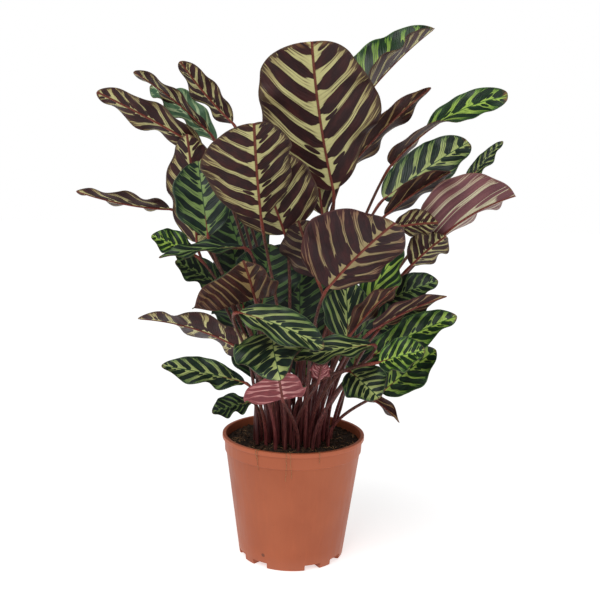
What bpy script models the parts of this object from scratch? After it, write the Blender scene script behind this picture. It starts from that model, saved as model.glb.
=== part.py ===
"""A peacock plant in a 17 cm nursery pot, as separate solids: the pot, the soil and each leaf.

Lengths are in millimetres and angles in degrees up to the point where a mesh is made, which is in
metres. +Z is up. The pot stands on Z = 0 with its axis on the origin, and its front faces -Y.
"""

import math
from typing import NamedTuple

import bmesh
import bpy
import numpy as np
from mathutils import Matrix
from mathutils.bvhtree import BVHTree

MM = 0.001
OBJECT = "potted_peacock_plant"
UP = np.array((0.0, 0.0, 1.0))
MERGE = 0.00005

# The pot: a 17 cm injection-moulded nursery pot.
POT_HEIGHT = 147.0
RIM_RADIUS = 85.0
RIM_DEPTH = 5.0
RIM_EDGE = 0.6
BAND_DEPTH = 19.5
BAND_TOP_RADIUS = 82.6
BAND_FOOT_RADIUS = 81.8
STEP_IN = 1.4
BASE_RADIUS = 63.0
BASE_EDGE = 1.5
WALL = 1.3
MOUTH_RADIUS = 80.6
POT_STEPS = 40

# Under the pot: a flat middle, and a ring of hollows, of which some open through the wall.
FLOOR = 1.4
FLAT_RADIUS = 46.0
RAMP = 1.5
RING_TOP = 8.2
HOLLOW_TOP = 6.9
HOLLOW_INNER = 48.4
HOLLOW_OUTER = BASE_RADIUS - WALL
NOTCH_REACH = 70.0
NOTCH_HALF = 9.0
NOTCH_OFF_DIAGONAL = 15.75
FIRST_DIAGONAL = 40.0
RIB_ANGLE = 1.5
CUT_BELOW = 2.0
CUT_STEP = 9.5

# The soil fills the pot to just under the rim.
GAP = 0.35
SOIL_TOP = 137.5
SOIL_EDGE_DROP = 1.2
SOIL_STEPS = 20
SOIL_RINGS = (66.0, 44.0, 22.0)
SOIL_BUMP = 1.4
HOLE_RADIUS = 2.8
HOLE_DEPTH = 16.0
HOLE_SIDES = 6

# Leaf stalks.
ROOT_SPREAD = 50.0
ROOT_SLOTS = 68
ROOT_RADIUS = 2.2
NECK_RADIUS = 1.5
LEAN_AT_EDGE = 48.0
GOLDEN_ANGLE = 137.508
STALK_RINGS = (0.42, 0.78, 1.0)
STRAIGHT_FOOT = 5.0
KNEE_SHARE = 0.15
KNEE_LEAST = 12.0
KNEE_MOST = 30.0

# Leaf blades.
BLADE_RINGS = (0.045, 0.17, 0.33, 0.5, 0.67, 0.83, 0.95, 1.0)
BLADE_COLUMNS = (-1.0, -0.5, 0.0, 0.5, 1.0)
BLADE_HALF_MIDDLE = 0.5
BLADE_HALF_EDGE = 0.4
TIP_HALF_WIDTH = 0.9
MIDRIB_BASE = 1.2
MIDRIB_TIP = 0.1
SIDE_SHIFT = 1.9
LOBES = 1.6
SLOPE_STEP = 0.002

# The eye that the leaves' places are sighted from, in front of the pot and above it.
EYE = np.array((4.3, -920.0, 424.0))

# A leaf that would touch one before it stands nearer or further, or its stalk bows aside.
CLEARANCE = 1.1
SHIFTS = (0, 4, -4, 8, -8, 12, -12, 17, -17, 23, -23, 30, -30, 38, -38, 47, -47, 57, -57, 70, -70)
BOWS = (8.0, 16.0, 26.0, 38.0)
BOW_DIRECTIONS = 8
NEAR_SLOTS = 6
KEEP_OFF_POT = 2.0

SOIL_BROWN = (0.035, 0.022, 0.015)
TERRACOTTA = (0.42, 0.14, 0.075)
LEAF_GREEN = (0.12, 0.2, 0.06)


class Leaf(NamedTuple):
    """One leaf: its stalk and its blade.

    base and tip are the blade's two ends as (across, up) on the upright plane through the pot's
    axis, where the eye sees them, and near is how far in front of that plane each stands. face
    is the way that the upper side looks. fold lifts both halves from the midrib and cup goes on
    lifting them towards the edge, arch and sway bend the midrib by a share of its length, and
    twist turns the blade from base to tip. uneven widens the right half and narrows the left,
    and lobe is the share by which the width comes and goes along each half.
    """

    name: str
    base: tuple
    tip: tuple
    near: tuple
    width: float
    face: tuple
    fold: float = 8.0
    cup: float = 12.0
    arch: float = 0.04
    sway: float = 0.0
    twist: float = 0.0
    wave: float = 3.0
    ripples: float = 2.5
    phase: float = 0.0
    wide_at: float = 0.5
    uneven: float = 0.0
    blunt: float = 0.6
    lobe: float = 0.04


LEAVES = (
    Leaf("leaf_01", (40, 436), (11, 602), (45, 100), 132, (0, 1, 0.25), fold=6, wide_at=0.58,
         wave=5, ripples=3, phase=0.45, uneven=0.04, blunt=0.45, sway=0.02, lobe=0.1),
    Leaf("leaf_02", (37, 322), (113, 400), (150, 205), 98, (-0.25, 1, 0.45), fold=7, cup=8,
         uneven=0.18, wide_at=0.46, blunt=0.5),
    Leaf("leaf_03", (-43, 401), (-53, 510), (115, 175), 95, (-0.3, 1, 0.4), fold=16, cup=5,
         uneven=0.12, blunt=0.55),
    Leaf("leaf_04", (-49, 308), (-63, 352), (130, 195), 92, (-0.1, 1, 0.75), fold=-14, cup=-22,
         uneven=0.34),
    Leaf("leaf_05", (-26, 266), (-16, 210), (120, 185), 80, (-0.35, -1, 0.6), fold=12, arch=0.12,
         wide_at=0.4),
    Leaf("leaf_06", (162, 379), (251, 434), (75, 120), 82, (-0.2, 0.7, 0.75), fold=26, wave=5,
         uneven=0.15, wide_at=0.43, blunt=0.46, sway=0.05),
    Leaf("leaf_07", (99, 427), (194, 494), (40, 25), 54, (-0.2, -0.85, 0.45), blunt=0.44),
    Leaf("leaf_08", (-67, 290), (34, 250), (165, 178), 40, (0, -0.75, 0.66), arch=0.08),
    Leaf("leaf_09", (-15, 384), (-54, 478), (85, 120), 100, (0.1, 1, 0.3), fold=5, wide_at=0.45),
    Leaf("leaf_10", (92, 242), (190, 292), (95, 115), 42, (-0.1, -0.7, 0.7), wave=5),
    Leaf("leaf_11", (-113, 480), (-233, 541), (40, 80), 38, (0.3, 0.75, 0.5), fold=4, cup=4, wave=5,
         uneven=-0.1, blunt=0.48, arch=0.02),
    Leaf("leaf_12", (106, 466), (236, 547), (10, 0), 43, (0, -0.35, 1), twist=-165, fold=4, arch=0.1,
         wide_at=0.42, blunt=0.4),
    Leaf("leaf_13", (-78, 510), (-138, 577), (30, 45), 36, (0.6, 0.8, 0.3), fold=6, wave=4,
         blunt=0.5, sway=0.07),
    Leaf("leaf_14", (54, 458), (148, 554), (15, 10), 35, (-0.4, 0.6, 0.4), fold=8, wave=5,
         wide_at=0.45),
    Leaf("leaf_15", (61, 526), (149, 619), (-10, -20), 90, (-0.59, -0.44, 0.68), fold=38, cup=8,
         wave=5, wide_at=0.33),
    Leaf("leaf_16", (-105, 380), (-117, 466), (75, 60), 66, (0.1, -1, 0.3)),
    Leaf("leaf_17", (-118, 372), (-130, 496), (25, 55), 68, (0.2, 1, 0.2), wide_at=0.45),
    Leaf("leaf_18", (-150, 410), (-258, 428), (10, 40), 38, (0.1, 0.42, 0.95), fold=14, arch=-0.04,
         wave=5, wide_at=0.42),
    Leaf("leaf_19", (-104, 498), (-191, 564), (0, 20), 30, (0.5, 0.45, 0.7), fold=8, wave=4,
         blunt=0.45, wide_at=0.6),
    Leaf("leaf_20", (-97, 489), (-172, 549), (-25, -20), 46, (0.3, -0.7, 0.6), wave=6, ripples=3),
    Leaf("leaf_21", (-60, 206), (-159, 224), (75, 100), 33, (0.1, -0.8, 0.6), wave=5),
    Leaf("leaf_22", (-48, 236), (-187, 280), (70, 60), 52, (0.2, 0.6, 0.7), twist=50, wave=5,
         arch=0.08, blunt=0.5),
    Leaf("leaf_23", (91, 255), (-1, 234), (130, 150), 36, (0, -0.5, 0.85)),
    Leaf("leaf_24", (66, 222), (102, 190), (95, 130), 50, (0.1, -0.9, 0.5)),
    Leaf("leaf_25", (-14, 187), (-21, 223), (98, 150), 70, (-0.1, 1, 0.65), fold=-12, cup=-20,
         uneven=0.18),
    Leaf("leaf_26", (29, 211), (32, 229), (112, 130), 22, (0, 1, 0.6)),
    Leaf("leaf_27", (100, 234), (154, 250), (118, 140), 38, (0, -0.8, 0.6)),
    Leaf("leaf_28", (105, 198), (167, 251), (60, 80), 48, (-0.1, -0.85, 0.5)),
    Leaf("leaf_29", (66, 268), (119, 326), (110, 150), 36, (-0.5, 0.7, 0.4)),
    Leaf("leaf_30", (93, 274), (177, 315), (115, 120), 36, (-0.2, 0.6, 0.8), wide_at=0.35),
    Leaf("leaf_31", (134, 351), (173, 386), (70, 90), 46, (-0.2, 0.85, 0.4)),
    Leaf("leaf_32", (112, 395), (163, 401), (95, 115), 32, (0, 0.9, 0.4)),
    Leaf("leaf_33", (101, 408), (175, 460), (60, 90), 34, (-0.2, 0.7, 0.7)),
    Leaf("leaf_34", (195, 449), (233, 496), (35, 40), 18, (-0.4, -0.7, 0.3), wide_at=0.38),
    Leaf("leaf_35", (105, 308), (166, 333), (80, 95), 38, (-0.2, -0.7, 0.6)),
    Leaf("leaf_36", (98, 273), (154, 315), (60, 70), 46, (0, -0.9, 0.4)),
    Leaf("leaf_37", (84, 306), (122, 373), (80, 100), 52, (-0.6, -0.7, 0.2)),
    Leaf("leaf_38", (-120, 357), (-171, 378), (70, 85), 34, (0.1, -0.7, 0.6), wave=4),
    Leaf("leaf_39", (-64, 367), (-162, 353), (85, 110), 26, (0, -0.45, 0.9)),
    Leaf("leaf_40", (-88, 320), (-143, 349), (55, 70), 38, (0.2, -0.7, 0.6), wave=4),
    Leaf("leaf_41", (-52, 182), (-98, 168), (45, 60), 32, (0, -0.6, 0.8), wave=4),
    Leaf("leaf_42", (62, 200), (127, 161), (10, 40), 34, (0.2, 0.6, 0.7), arch=0.1),
    Leaf("leaf_43", (28, 408), (15, 492), (20, 45), 46, (0, 1, 0.2)),
    Leaf("leaf_44", (62, 264), (58, 332), (60, 70), 56, (0, -1, 0.2)),
    Leaf("leaf_45", (-41, 298), (-32, 372), (50, 55), 76, (0.1, -1, 0.2)),
    Leaf("leaf_46", (5, 272), (3, 352), (45, 50), 76, (0, -1, 0.2)),
    Leaf("leaf_47", (-62, 296), (-76, 368), (30, 30), 70, (0.1, -1, 0.2)),
    Leaf("leaf_48", (0, 420), (-10, 500), (-60, -110), 94, (0, -1, 0.5)),
    Leaf("leaf_49", (58, 330), (92, 396), (-60, -110), 80, (-0.2, -1, 0.5)),
    Leaf("leaf_50", (-58, 335), (-85, 415), (-60, -120), 90, (0.2, -1, 0.5)),
    Leaf("leaf_51", (-10, 300), (-5, 372), (-80, -140), 96, (0, -1, 0.8)),
    Leaf("leaf_52", (50, 265), (85, 305), (-80, -140), 80, (-0.2, -1, 0.8)),
    Leaf("leaf_53", (-50, 265), (-80, 305), (-80, -140), 76, (0.2, -1, 0.8)),
    Leaf("leaf_54", (22, 335), (0, 400), (90, 100), 56, (0, 1, 0.3)),
    Leaf("leaf_55", (12, 212), (16, 296), (-35, -65), 84, (0, -1, 0.35)),
    Leaf("leaf_56", (-38, 210), (-55, 285), (-30, -60), 74, (0.15, -1, 0.35)),
    Leaf("leaf_57", (68, 222), (88, 300), (-40, -70), 78, (-0.15, -1, 0.35)),
)


class Form(NamedTuple):
    """A blade set in space: its ends, the way it runs and the way its upper side looks."""

    leaf: Leaf
    start: np.ndarray
    chord: np.ndarray
    length: float
    upper: np.ndarray
    side: np.ndarray


class Place(NamedTuple):
    """A leaf's blade, where its stalk stands in the soil, and how far the stalk bows aside."""

    form: Form
    root: np.ndarray
    bow: tuple


def unit(vectors):
    return vectors / np.linalg.norm(vectors, axis=-1, keepdims=True)


def square_to(vectors, axis):
    """The vectors made perpendicular to the axis, at length 1."""
    return unit(vectors - np.sum(vectors * axis, axis=-1, keepdims=True) * axis)


def sighted(place, near):
    """The point the eye sees at a place on the middle plane, standing nearer by a distance."""
    seen = np.array((place[0], 0.0, place[1]))
    return EYE + (seen - EYE) * (1.0 + near / EYE[1])


def blade_form(leaf, shift=0.0):
    start = sighted(leaf.base, leaf.near[0] + shift)
    chord = sighted(leaf.tip, leaf.near[1] + shift) - start
    axis = unit(chord)
    upper = square_to(np.array(leaf.face, float), axis)
    return Form(leaf, start, chord, float(np.linalg.norm(chord)), upper, np.cross(axis, upper))


def midrib(form, t):
    """Points of the midrib at shares t of its length, and the way that it runs there."""
    leaf = form.leaf
    bend = form.length * 4.0 * (leaf.arch * form.upper + leaf.sway * form.side)
    t = t[:, None]
    points = form.start + t * form.chord + t * (1 - t) * bend
    return points, unit(form.chord + (1 - 2 * t) * bend)


def half_width(leaf, t, s):
    """The width of the blade's left or right half at a share t of its length."""
    skew = math.log(0.5) / math.log(leaf.wide_at)
    swell = np.sin(math.pi * np.clip(t, 0, 1) ** skew).clip(0) ** leaf.blunt
    turns = 2 * math.pi * (LOBES * t + leaf.phase) + SIDE_SHIFT * (s > 0)
    swell = swell * (1 + leaf.lobe * np.sin(turns))
    end = NECK_RADIUS + (TIP_HALF_WIDTH - NECK_RADIUS) * t
    return np.hypot(leaf.width / 2 * swell * (1 + leaf.uneven * np.sign(s)), end)


def blade_points(form, t, s):
    """Points of the blade's middle surface: t runs from base to tip and s from edge to edge."""
    leaf = form.leaf
    points, along = midrib(form, t)
    upper = square_to(form.upper[None, :], along)
    side = np.cross(along, upper)
    turn = np.radians(leaf.twist) * (t - 0.5)[:, None]
    side, upper = (
        side * np.cos(turn) + upper * np.sin(turn),
        upper * np.cos(turn) - side * np.sin(turn),
    )
    out = np.abs(s)
    fold = math.radians(leaf.fold)
    cup = math.radians(leaf.cup if abs(leaf.cup) > 0.1 else 0.1)
    lift = fold + cup * out
    half = half_width(leaf, t, s)
    reach = np.sign(s) * half * (np.sin(lift) - math.sin(fold)) / cup
    rise = half * (math.cos(fold) - np.cos(lift)) / cup
    turns = 2 * math.pi * (leaf.ripples * t + leaf.phase) + SIDE_SHIFT * (s > 0)
    ruffle = leaf.wave * out**2 * np.sqrt(np.sin(math.pi * t.clip(0, 1)).clip(0)) * np.sin(turns)
    reach = reach - np.sign(s) * np.sin(lift) * ruffle
    rise = rise + np.cos(lift) * ruffle
    return points + side * reach[:, None] + upper * rise[:, None]


def blade_normals(form, t, s):
    """The way that the upper side looks at each point of the blade."""
    h = SLOPE_STEP
    run = blade_points(form, (t + h).clip(0, 1), s) - blade_points(form, (t - h).clip(0, 1), s)
    across = blade_points(form, t, s + h) - blade_points(form, t, s - h)
    return unit(np.cross(across, run))


def blade_rings(form, shares, columns, extra=0.0):
    """Closed rings around the blade: its upper side from left to right, then its lower side back."""
    columns = np.array(columns)
    count = len(columns)
    t = np.repeat(np.array(shares), count)
    s = np.tile(columns, len(shares))
    points = blade_points(form, t, s)
    normals = blade_normals(form, t, s)
    half = BLADE_HALF_MIDDLE + (BLADE_HALF_EDGE - BLADE_HALF_MIDDLE) * np.abs(s) + extra
    ridge = (MIDRIB_BASE + (MIDRIB_TIP - MIDRIB_BASE) * t) * (s == 0)
    above = (points + normals * half[:, None]).reshape(len(shares), count, 3)
    below = (points - normals * (half + ridge)[:, None]).reshape(len(shares), count, 3)
    return np.concatenate((above, below[:, ::-1]), axis=1)


def stalk_path(form, root, bow):
    """Bends of the stalk: straight up out of the soil, then a curve that runs into the midrib."""
    _, along = midrib(form, np.zeros(1))
    foot = np.array((root[0], root[1], SOIL_TOP + STRAIGHT_FOOT))
    span = float(np.linalg.norm(form.start - foot))
    knee = min(max(KNEE_SHARE * span, KNEE_LEAST), KNEE_MOST)
    belly = np.array((bow[0], bow[1], 0.0))
    return (
        foot,
        foot + 0.35 * span * UP + belly,
        form.start - knee * along[0] + 0.5 * belly,
        form.start,
    )


def curve_at(path, u):
    """Points and directions of the cubic curve through a path's four places."""
    a, b, c, d = path
    u = np.array(u)[:, None]
    v = 1 - u
    points = v**3 * a + 3 * v**2 * u * b + 3 * v * u**2 * c + u**3 * d
    return points, unit(v**2 * (b - a) + 2 * v * u * (c - b) + u**2 * (d - c))


def stalk_rings(place, shares, columns, extra=0.0):
    """Round rings up the stalk, which start in the soil and meet the blade's first ring."""
    form, root, bow = place
    points, along = curve_at(stalk_path(form, root, bow), (0.0, *shares))
    buried = np.array((root[0], root[1], SOIL_TOP - HOLE_DEPTH + GAP))
    points = np.concatenate((buried[None, :], points))
    along = np.concatenate((UP[None, :], along))
    side = square_to(form.side[None, :], along)
    upper = np.cross(side, along)
    share = np.concatenate(((0.0, 0.0), shares))
    radius = (ROOT_RADIUS + (NECK_RADIUS - ROOT_RADIUS) * share + extra)[:, None, None]
    count = 2 * len(columns)
    angles = (math.pi * (1 - (np.arange(count) + 0.5) * 2 / count))[None, :, None]
    ring = np.cos(angles) * side[:, None] + np.sin(angles) * upper[:, None]
    return points[:, None] + radius * ring


def leaf_rings(place):
    stalk = stalk_rings(place, STALK_RINGS, BLADE_COLUMNS)
    return np.concatenate((stalk, blade_rings(place.form, BLADE_RINGS, BLADE_COLUMNS)))


def loft_faces(rings, count):
    """Triangles between rings of count points, split alike on the upper and the lower side."""
    faces = []
    half = count // 2
    for k in range(rings - 1):
        low = k * count
        high = low + count
        for i in range(count):
            j = (i + 1) % count
            if i < half:
                faces += [(low + i, low + j, high + j), (low + i, high + j, high + i)]
            else:
                faces += [(low + i, low + j, high + i), (low + j, high + j, high + i)]
    return faces


def cap_faces(first, count, flip):
    """A ring closed by triangles that join each upper point to the lower point under it."""
    faces = []
    for i in range(count // 2 - 1):
        a, b, c, d = first + i, first + i + 1, first + count - 2 - i, first + count - 1 - i
        faces += [(a, b, c), (a, c, d)]
    return [face[::-1] for face in faces] if flip else faces


def root_slots(count):
    """Places in the soil, spread evenly from its middle outwards."""
    index = np.arange(count)
    radius = ROOT_SPREAD * np.sqrt((index + 0.5) / count)
    angle = np.radians(GOLDEN_ANGLE) * index
    return np.stack((radius * np.cos(angle), radius * np.sin(angle)), axis=1)


def near_slots(form, free):
    """Free places close to where a leaf would stand: the further out, the more it leans."""
    out = form.start[:2]
    reach = float(np.linalg.norm(out))
    lean = math.degrees(math.atan2(reach, form.start[2] - SOIL_TOP))
    wish = out / max(reach, 1e-6) * ROOT_SPREAD * min(lean / LEAN_AT_EDGE, 1.0)
    return sorted(free, key=lambda slot: math.dist(slot, wish))[:NEAR_SLOTS]


def bows():
    """Ways to bow a stalk aside, the smallest first."""
    yield (0.0, 0.0)
    for size in BOWS:
        for k in range(BOW_DIRECTIONS):
            angle = 2 * math.pi * k / BOW_DIRECTIONS
            yield (size * math.cos(angle), size * math.sin(angle))


def pot_outside():
    """A simple ring around the pot's wall, its rim and the soil, for leaves to keep clear of."""
    off = KEEP_OFF_POT
    section = np.array(
        (
            (BASE_RADIUS + off, 0.0),
            (RIM_RADIUS + off, POT_HEIGHT - BAND_DEPTH),
            (RIM_RADIUS + off, POT_HEIGHT + off),
            (MOUTH_RADIUS - off, POT_HEIGHT + off),
            (MOUTH_RADIUS - off, SOIL_TOP + off),
            (ROOT_SPREAD + 3 * off, SOIL_TOP + off),
        )
    )
    angles = np.arange(SOIL_STEPS) * 2 * math.pi / SOIL_STEPS
    rings = [
        [(r * math.cos(a), r * math.sin(a), z) for a in angles] for r, z in section
    ]
    return BVHTree.FromPolygons(sum(rings, []), loft_faces(len(rings), SOIL_STEPS))


def touches(rings, obstacles):
    faces = loft_faces(len(rings), rings.shape[1])
    tree = BVHTree.FromPolygons(rings.reshape(-1, 3).tolist(), faces)
    return any(tree.overlap(obstacle) for obstacle in obstacles)


def clear_place(leaf, free, obstacles):
    """The first place of the leaf, and way for its stalk, that touch nothing."""
    for shift in SHIFTS:
        form = blade_form(leaf, shift)
        blade = blade_rings(form, BLADE_RINGS, BLADE_COLUMNS, CLEARANCE)
        if touches(blade, obstacles):
            continue
        for bow in bows():
            for root in near_slots(form, free):
                place = Place(form, root, bow)
                stalk = stalk_rings(place, STALK_RINGS, BLADE_COLUMNS, CLEARANCE)
                if not touches(np.concatenate((stalk, blade[:1])), obstacles):
                    return place
    raise ValueError(f"{leaf.name} finds no clear place")


def placed_leaves():
    """Each leaf's place, set one after the other clear of those before."""
    free = [tuple(slot) for slot in root_slots(ROOT_SLOTS).tolist()]
    pot = pot_outside()
    points = []
    triangles = []
    placed = []
    for leaf in LEAVES:
        obstacles = [pot, BVHTree.FromPolygons(points, triangles)] if points else [pot]
        place = clear_place(leaf, free, obstacles)
        free.remove(place.root)
        placed.append(place)
        rings = leaf_rings(place)
        offset = len(points)
        points += rings.reshape(-1, 3).tolist()
        faces = loft_faces(len(rings), rings.shape[1])
        triangles += [tuple(offset + v for v in face) for face in faces]
    return placed


def material(name, colour, roughness):
    made = bpy.data.materials.new(name)
    made.use_nodes = True
    shader = made.node_tree.nodes["Principled BSDF"]
    shader.inputs["Base Color"].default_value = (*colour, 1.0)
    shader.inputs["Roughness"].default_value = roughness
    shader.inputs["Metallic"].default_value = 0.0
    return made


def new_object(name, mesh, collection):
    made = bpy.data.objects.new(name, mesh)
    collection.objects.link(made)
    return made


def new_collection(name):
    made = bpy.data.collections.new(name)
    bpy.context.scene.collection.children.link(made)
    return made


def mesh_from(bm, name):
    made = bpy.data.meshes.new(name)
    bm.to_mesh(made)
    bm.free()
    return made


def subtract(target, cutter):
    cutter.hide_render = True
    cutter.display_type = "WIRE"
    cut = target.modifiers.new("cut", "BOOLEAN")
    cut.operation = "DIFFERENCE"
    cut.solver = "EXACT"
    cut.object = cutter


def pot_profile():
    """The wall's section as (radius, height): up the inside, over the rim and down the outside."""
    step_top = POT_HEIGHT - BAND_DEPTH
    step_foot = step_top - STEP_IN / 2
    neck = BAND_FOOT_RADIUS - STEP_IN
    edge = RIM_EDGE
    return (
        (0.0, FLOOR),
        (FLAT_RADIUS, FLOOR),
        (FLAT_RADIUS + RAMP, RING_TOP),
        (wall_radius(RING_TOP) - WALL, RING_TOP),
        (neck - WALL, step_foot),
        (BAND_FOOT_RADIUS - WALL, step_foot + STEP_IN),
        (MOUTH_RADIUS, POT_HEIGHT - edge),
        (MOUTH_RADIUS + edge, POT_HEIGHT),
        (RIM_RADIUS - edge, POT_HEIGHT),
        (RIM_RADIUS, POT_HEIGHT - edge),
        (RIM_RADIUS, POT_HEIGHT - RIM_DEPTH + edge),
        (RIM_RADIUS - edge, POT_HEIGHT - RIM_DEPTH),
        (BAND_TOP_RADIUS, POT_HEIGHT - RIM_DEPTH - edge),
        (BAND_FOOT_RADIUS, step_top),
        (neck, step_foot),
        (BASE_RADIUS, BASE_EDGE),
        (BASE_RADIUS - BASE_EDGE / 4, BASE_EDGE / 3),
        (BASE_RADIUS - BASE_EDGE, 0.0),
        (0.0, 0.0),
    )


def wall_radius(height):
    """The outer radius of the pot's tapering wall, below the band under the rim."""
    step_foot = POT_HEIGHT - BAND_DEPTH - STEP_IN / 2
    share = (height - BASE_EDGE) / (step_foot - BASE_EDGE)
    return BASE_RADIUS + (BAND_FOOT_RADIUS - STEP_IN - BASE_RADIUS) * share


def profile_mesh(name, profile):
    """A chain of edges through (radius, height) points, in the plane of X and Z."""
    bm = bmesh.new()
    verts = [bm.verts.new((r * MM, 0.0, z * MM)) for r, z in profile]
    for a, b in zip(verts, verts[1:]):
        bm.edges.new((a, b))
    return mesh_from(bm, name)


def add_sector(bm, inner, outer, start, sweep):
    """A ring sector under the pot, from the ground up to the hollows' top."""
    heading = Matrix.Rotation(math.radians(start - 90.0), 3, "Z")
    corners = ((inner, -CUT_BELOW), (outer, -CUT_BELOW), (outer, HOLLOW_TOP), (inner, HOLLOW_TOP))
    verts = [bm.verts.new((r * MM, 0.0, z * MM)) for r, z in corners]
    bmesh.ops.rotate(bm, verts=verts, cent=(0, 0, 0), matrix=heading)
    section = bm.faces.new(verts)
    bmesh.ops.spin(
        bm,
        geom=[section, *section.edges, *verts],
        cent=(0, 0, 0),
        axis=(0, 0, 1),
        angle=math.radians(sweep),
        steps=math.ceil(sweep / CUT_STEP),
    )


def hollow_cutter(collection):
    """Eight notches through the wall, in pairs, and a closed hollow between each two."""
    bm = bmesh.new()
    for quarter in range(4):
        diagonal = FIRST_DIAGONAL + 90.0 * quarter
        low = diagonal - NOTCH_OFF_DIAGONAL
        high = diagonal + NOTCH_OFF_DIAGONAL
        for middle in (low, high):
            add_sector(bm, HOLLOW_INNER, NOTCH_REACH, middle - NOTCH_HALF, 2 * NOTCH_HALF)
        for left, right in ((low, high), (high, low + 90.0)):
            start = left + NOTCH_HALF + RIB_ANGLE
            add_sector(bm, HOLLOW_INNER, HOLLOW_OUTER, start, right - NOTCH_HALF - RIB_ANGLE - start)
    bmesh.ops.recalc_face_normals(bm, faces=bm.faces)
    return new_object("hollow_cutter", mesh_from(bm, "hollow_cutter"), collection)


def make_pot(parts, cutters):
    pot = new_object("pot", profile_mesh("pot", pot_profile()), parts)
    turned = pot.modifiers.new("turned", "SCREW")
    turned.angle = 2 * math.pi
    turned.steps = POT_STEPS
    turned.render_steps = POT_STEPS
    turned.use_merge_vertices = True
    turned.merge_threshold = MERGE
    turned.use_smooth_shade = True
    subtract(pot, hollow_cutter(cutters))
    pot.data.materials.append(material("pot", TERRACOTTA, 0.5))
    return pot


def soil_profile():
    """The soil's section, a small gap inside the pot's own, up to its top in the middle."""
    step_foot = POT_HEIGHT - BAND_DEPTH - STEP_IN / 2
    neck = BAND_FOOT_RADIUS - STEP_IN - WALL - GAP
    edge = BAND_FOOT_RADIUS - WALL - GAP
    rings = [(radius, SOIL_TOP) for radius in SOIL_RINGS]
    return (
        (0.0, FLOOR + GAP),
        (FLAT_RADIUS - GAP, FLOOR + GAP),
        (FLAT_RADIUS + RAMP - GAP, RING_TOP + GAP),
        (wall_radius(RING_TOP) - WALL - GAP, RING_TOP + GAP),
        (neck, step_foot + GAP / 2),
        (edge, step_foot + STEP_IN + GAP / 2),
        (edge, SOIL_TOP - SOIL_EDGE_DROP),
        *rings,
        (0.0, SOIL_TOP),
    )


def soil_height(x, y):
    """How far the soil's top rises or sinks at a place, in low uneven mounds."""
    waves = math.sin(x / 9.0 + 1.3) * math.cos(y / 11.0) + 0.6 * math.sin((x + 2 * y) / 17.0)
    return SOIL_BUMP * waves / 1.6


def hole_cutter(roots, collection):
    bm = bmesh.new()
    top = SOIL_TOP + STRAIGHT_FOOT
    floor = SOIL_TOP - HOLE_DEPTH
    for x, y in roots:
        bmesh.ops.create_cone(
            bm,
            cap_ends=True,
            segments=HOLE_SIDES,
            radius1=HOLE_RADIUS * MM,
            radius2=HOLE_RADIUS * MM,
            depth=(top - floor) * MM,
            matrix=Matrix.Translation((x * MM, y * MM, (top + floor) / 2 * MM)),
        )
    return new_object("hole_cutter", mesh_from(bm, "hole_cutter"), collection)


def make_soil(roots, parts, cutters):
    """The root ball, which fills the pot's inside, with a plain hole for each stalk."""
    bm = bmesh.new()
    bm.from_mesh(profile_mesh("soil_profile", soil_profile()))
    bmesh.ops.spin(
        bm,
        geom=[*bm.verts, *bm.edges],
        cent=(0, 0, 0),
        axis=(0, 0, 1),
        angle=2 * math.pi,
        steps=SOIL_STEPS,
        use_merge=True,
    )
    bmesh.ops.remove_doubles(bm, verts=bm.verts, dist=MERGE)
    bmesh.ops.recalc_face_normals(bm, faces=bm.faces)
    for vert in bm.verts:
        if vert.co.z > (SOIL_TOP - GAP) * MM:
            vert.co.z += soil_height(vert.co.x / MM, vert.co.y / MM) * MM
    soil = new_object("soil", mesh_from(bm, "soil"), parts)
    subtract(soil, hole_cutter(roots, cutters))
    soil.data.materials.append(material("soil", SOIL_BROWN, 0.9))
    return soil


def make_leaf(place, collection):
    name = place.form.leaf.name
    rings = leaf_rings(place)
    count = rings.shape[1]
    faces = loft_faces(len(rings), count)
    faces += cap_faces(0, count, True)
    faces += cap_faces((len(rings) - 1) * count, count, False)
    mesh = bpy.data.meshes.new(name)
    mesh.from_pydata((rings.reshape(-1, 3) * MM).tolist(), [], faces)
    mesh.materials.append(material(name, LEAF_GREEN, 0.45))
    mesh.shade_smooth()
    return new_object(name, mesh, collection)


def main():
    for obj in list(bpy.data.objects):
        bpy.data.objects.remove(obj)
    parts = new_collection(OBJECT)
    cutters = new_collection("cutters")
    placed = placed_leaves()
    make_pot(parts, cutters)
    make_soil([place.root for place in placed], parts, cutters)
    for place in placed:
        make_leaf(place, parts)


if __name__ == "__main__":
    main()
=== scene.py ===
"""The looks of a peacock plant in a 17 cm nursery pot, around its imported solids.

Every piece is made by an operator of this add-on: the pot, the soil and what lies on it, each leaf,
and the stage with its light and camera. Lengths are in millimetres and angles in degrees up to the
point where a mesh is made, which is in metres. +Z is up, and the front faces -Y.
"""

import math
import random
from typing import NamedTuple

import bmesh
import bpy
import numpy as np
from bpy.props import (
    FloatProperty,
    FloatVectorProperty,
    IntProperty,
    PointerProperty,
)
from mathutils import Matrix, Vector, noise
from mathutils.bvhtree import BVHTree


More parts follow.
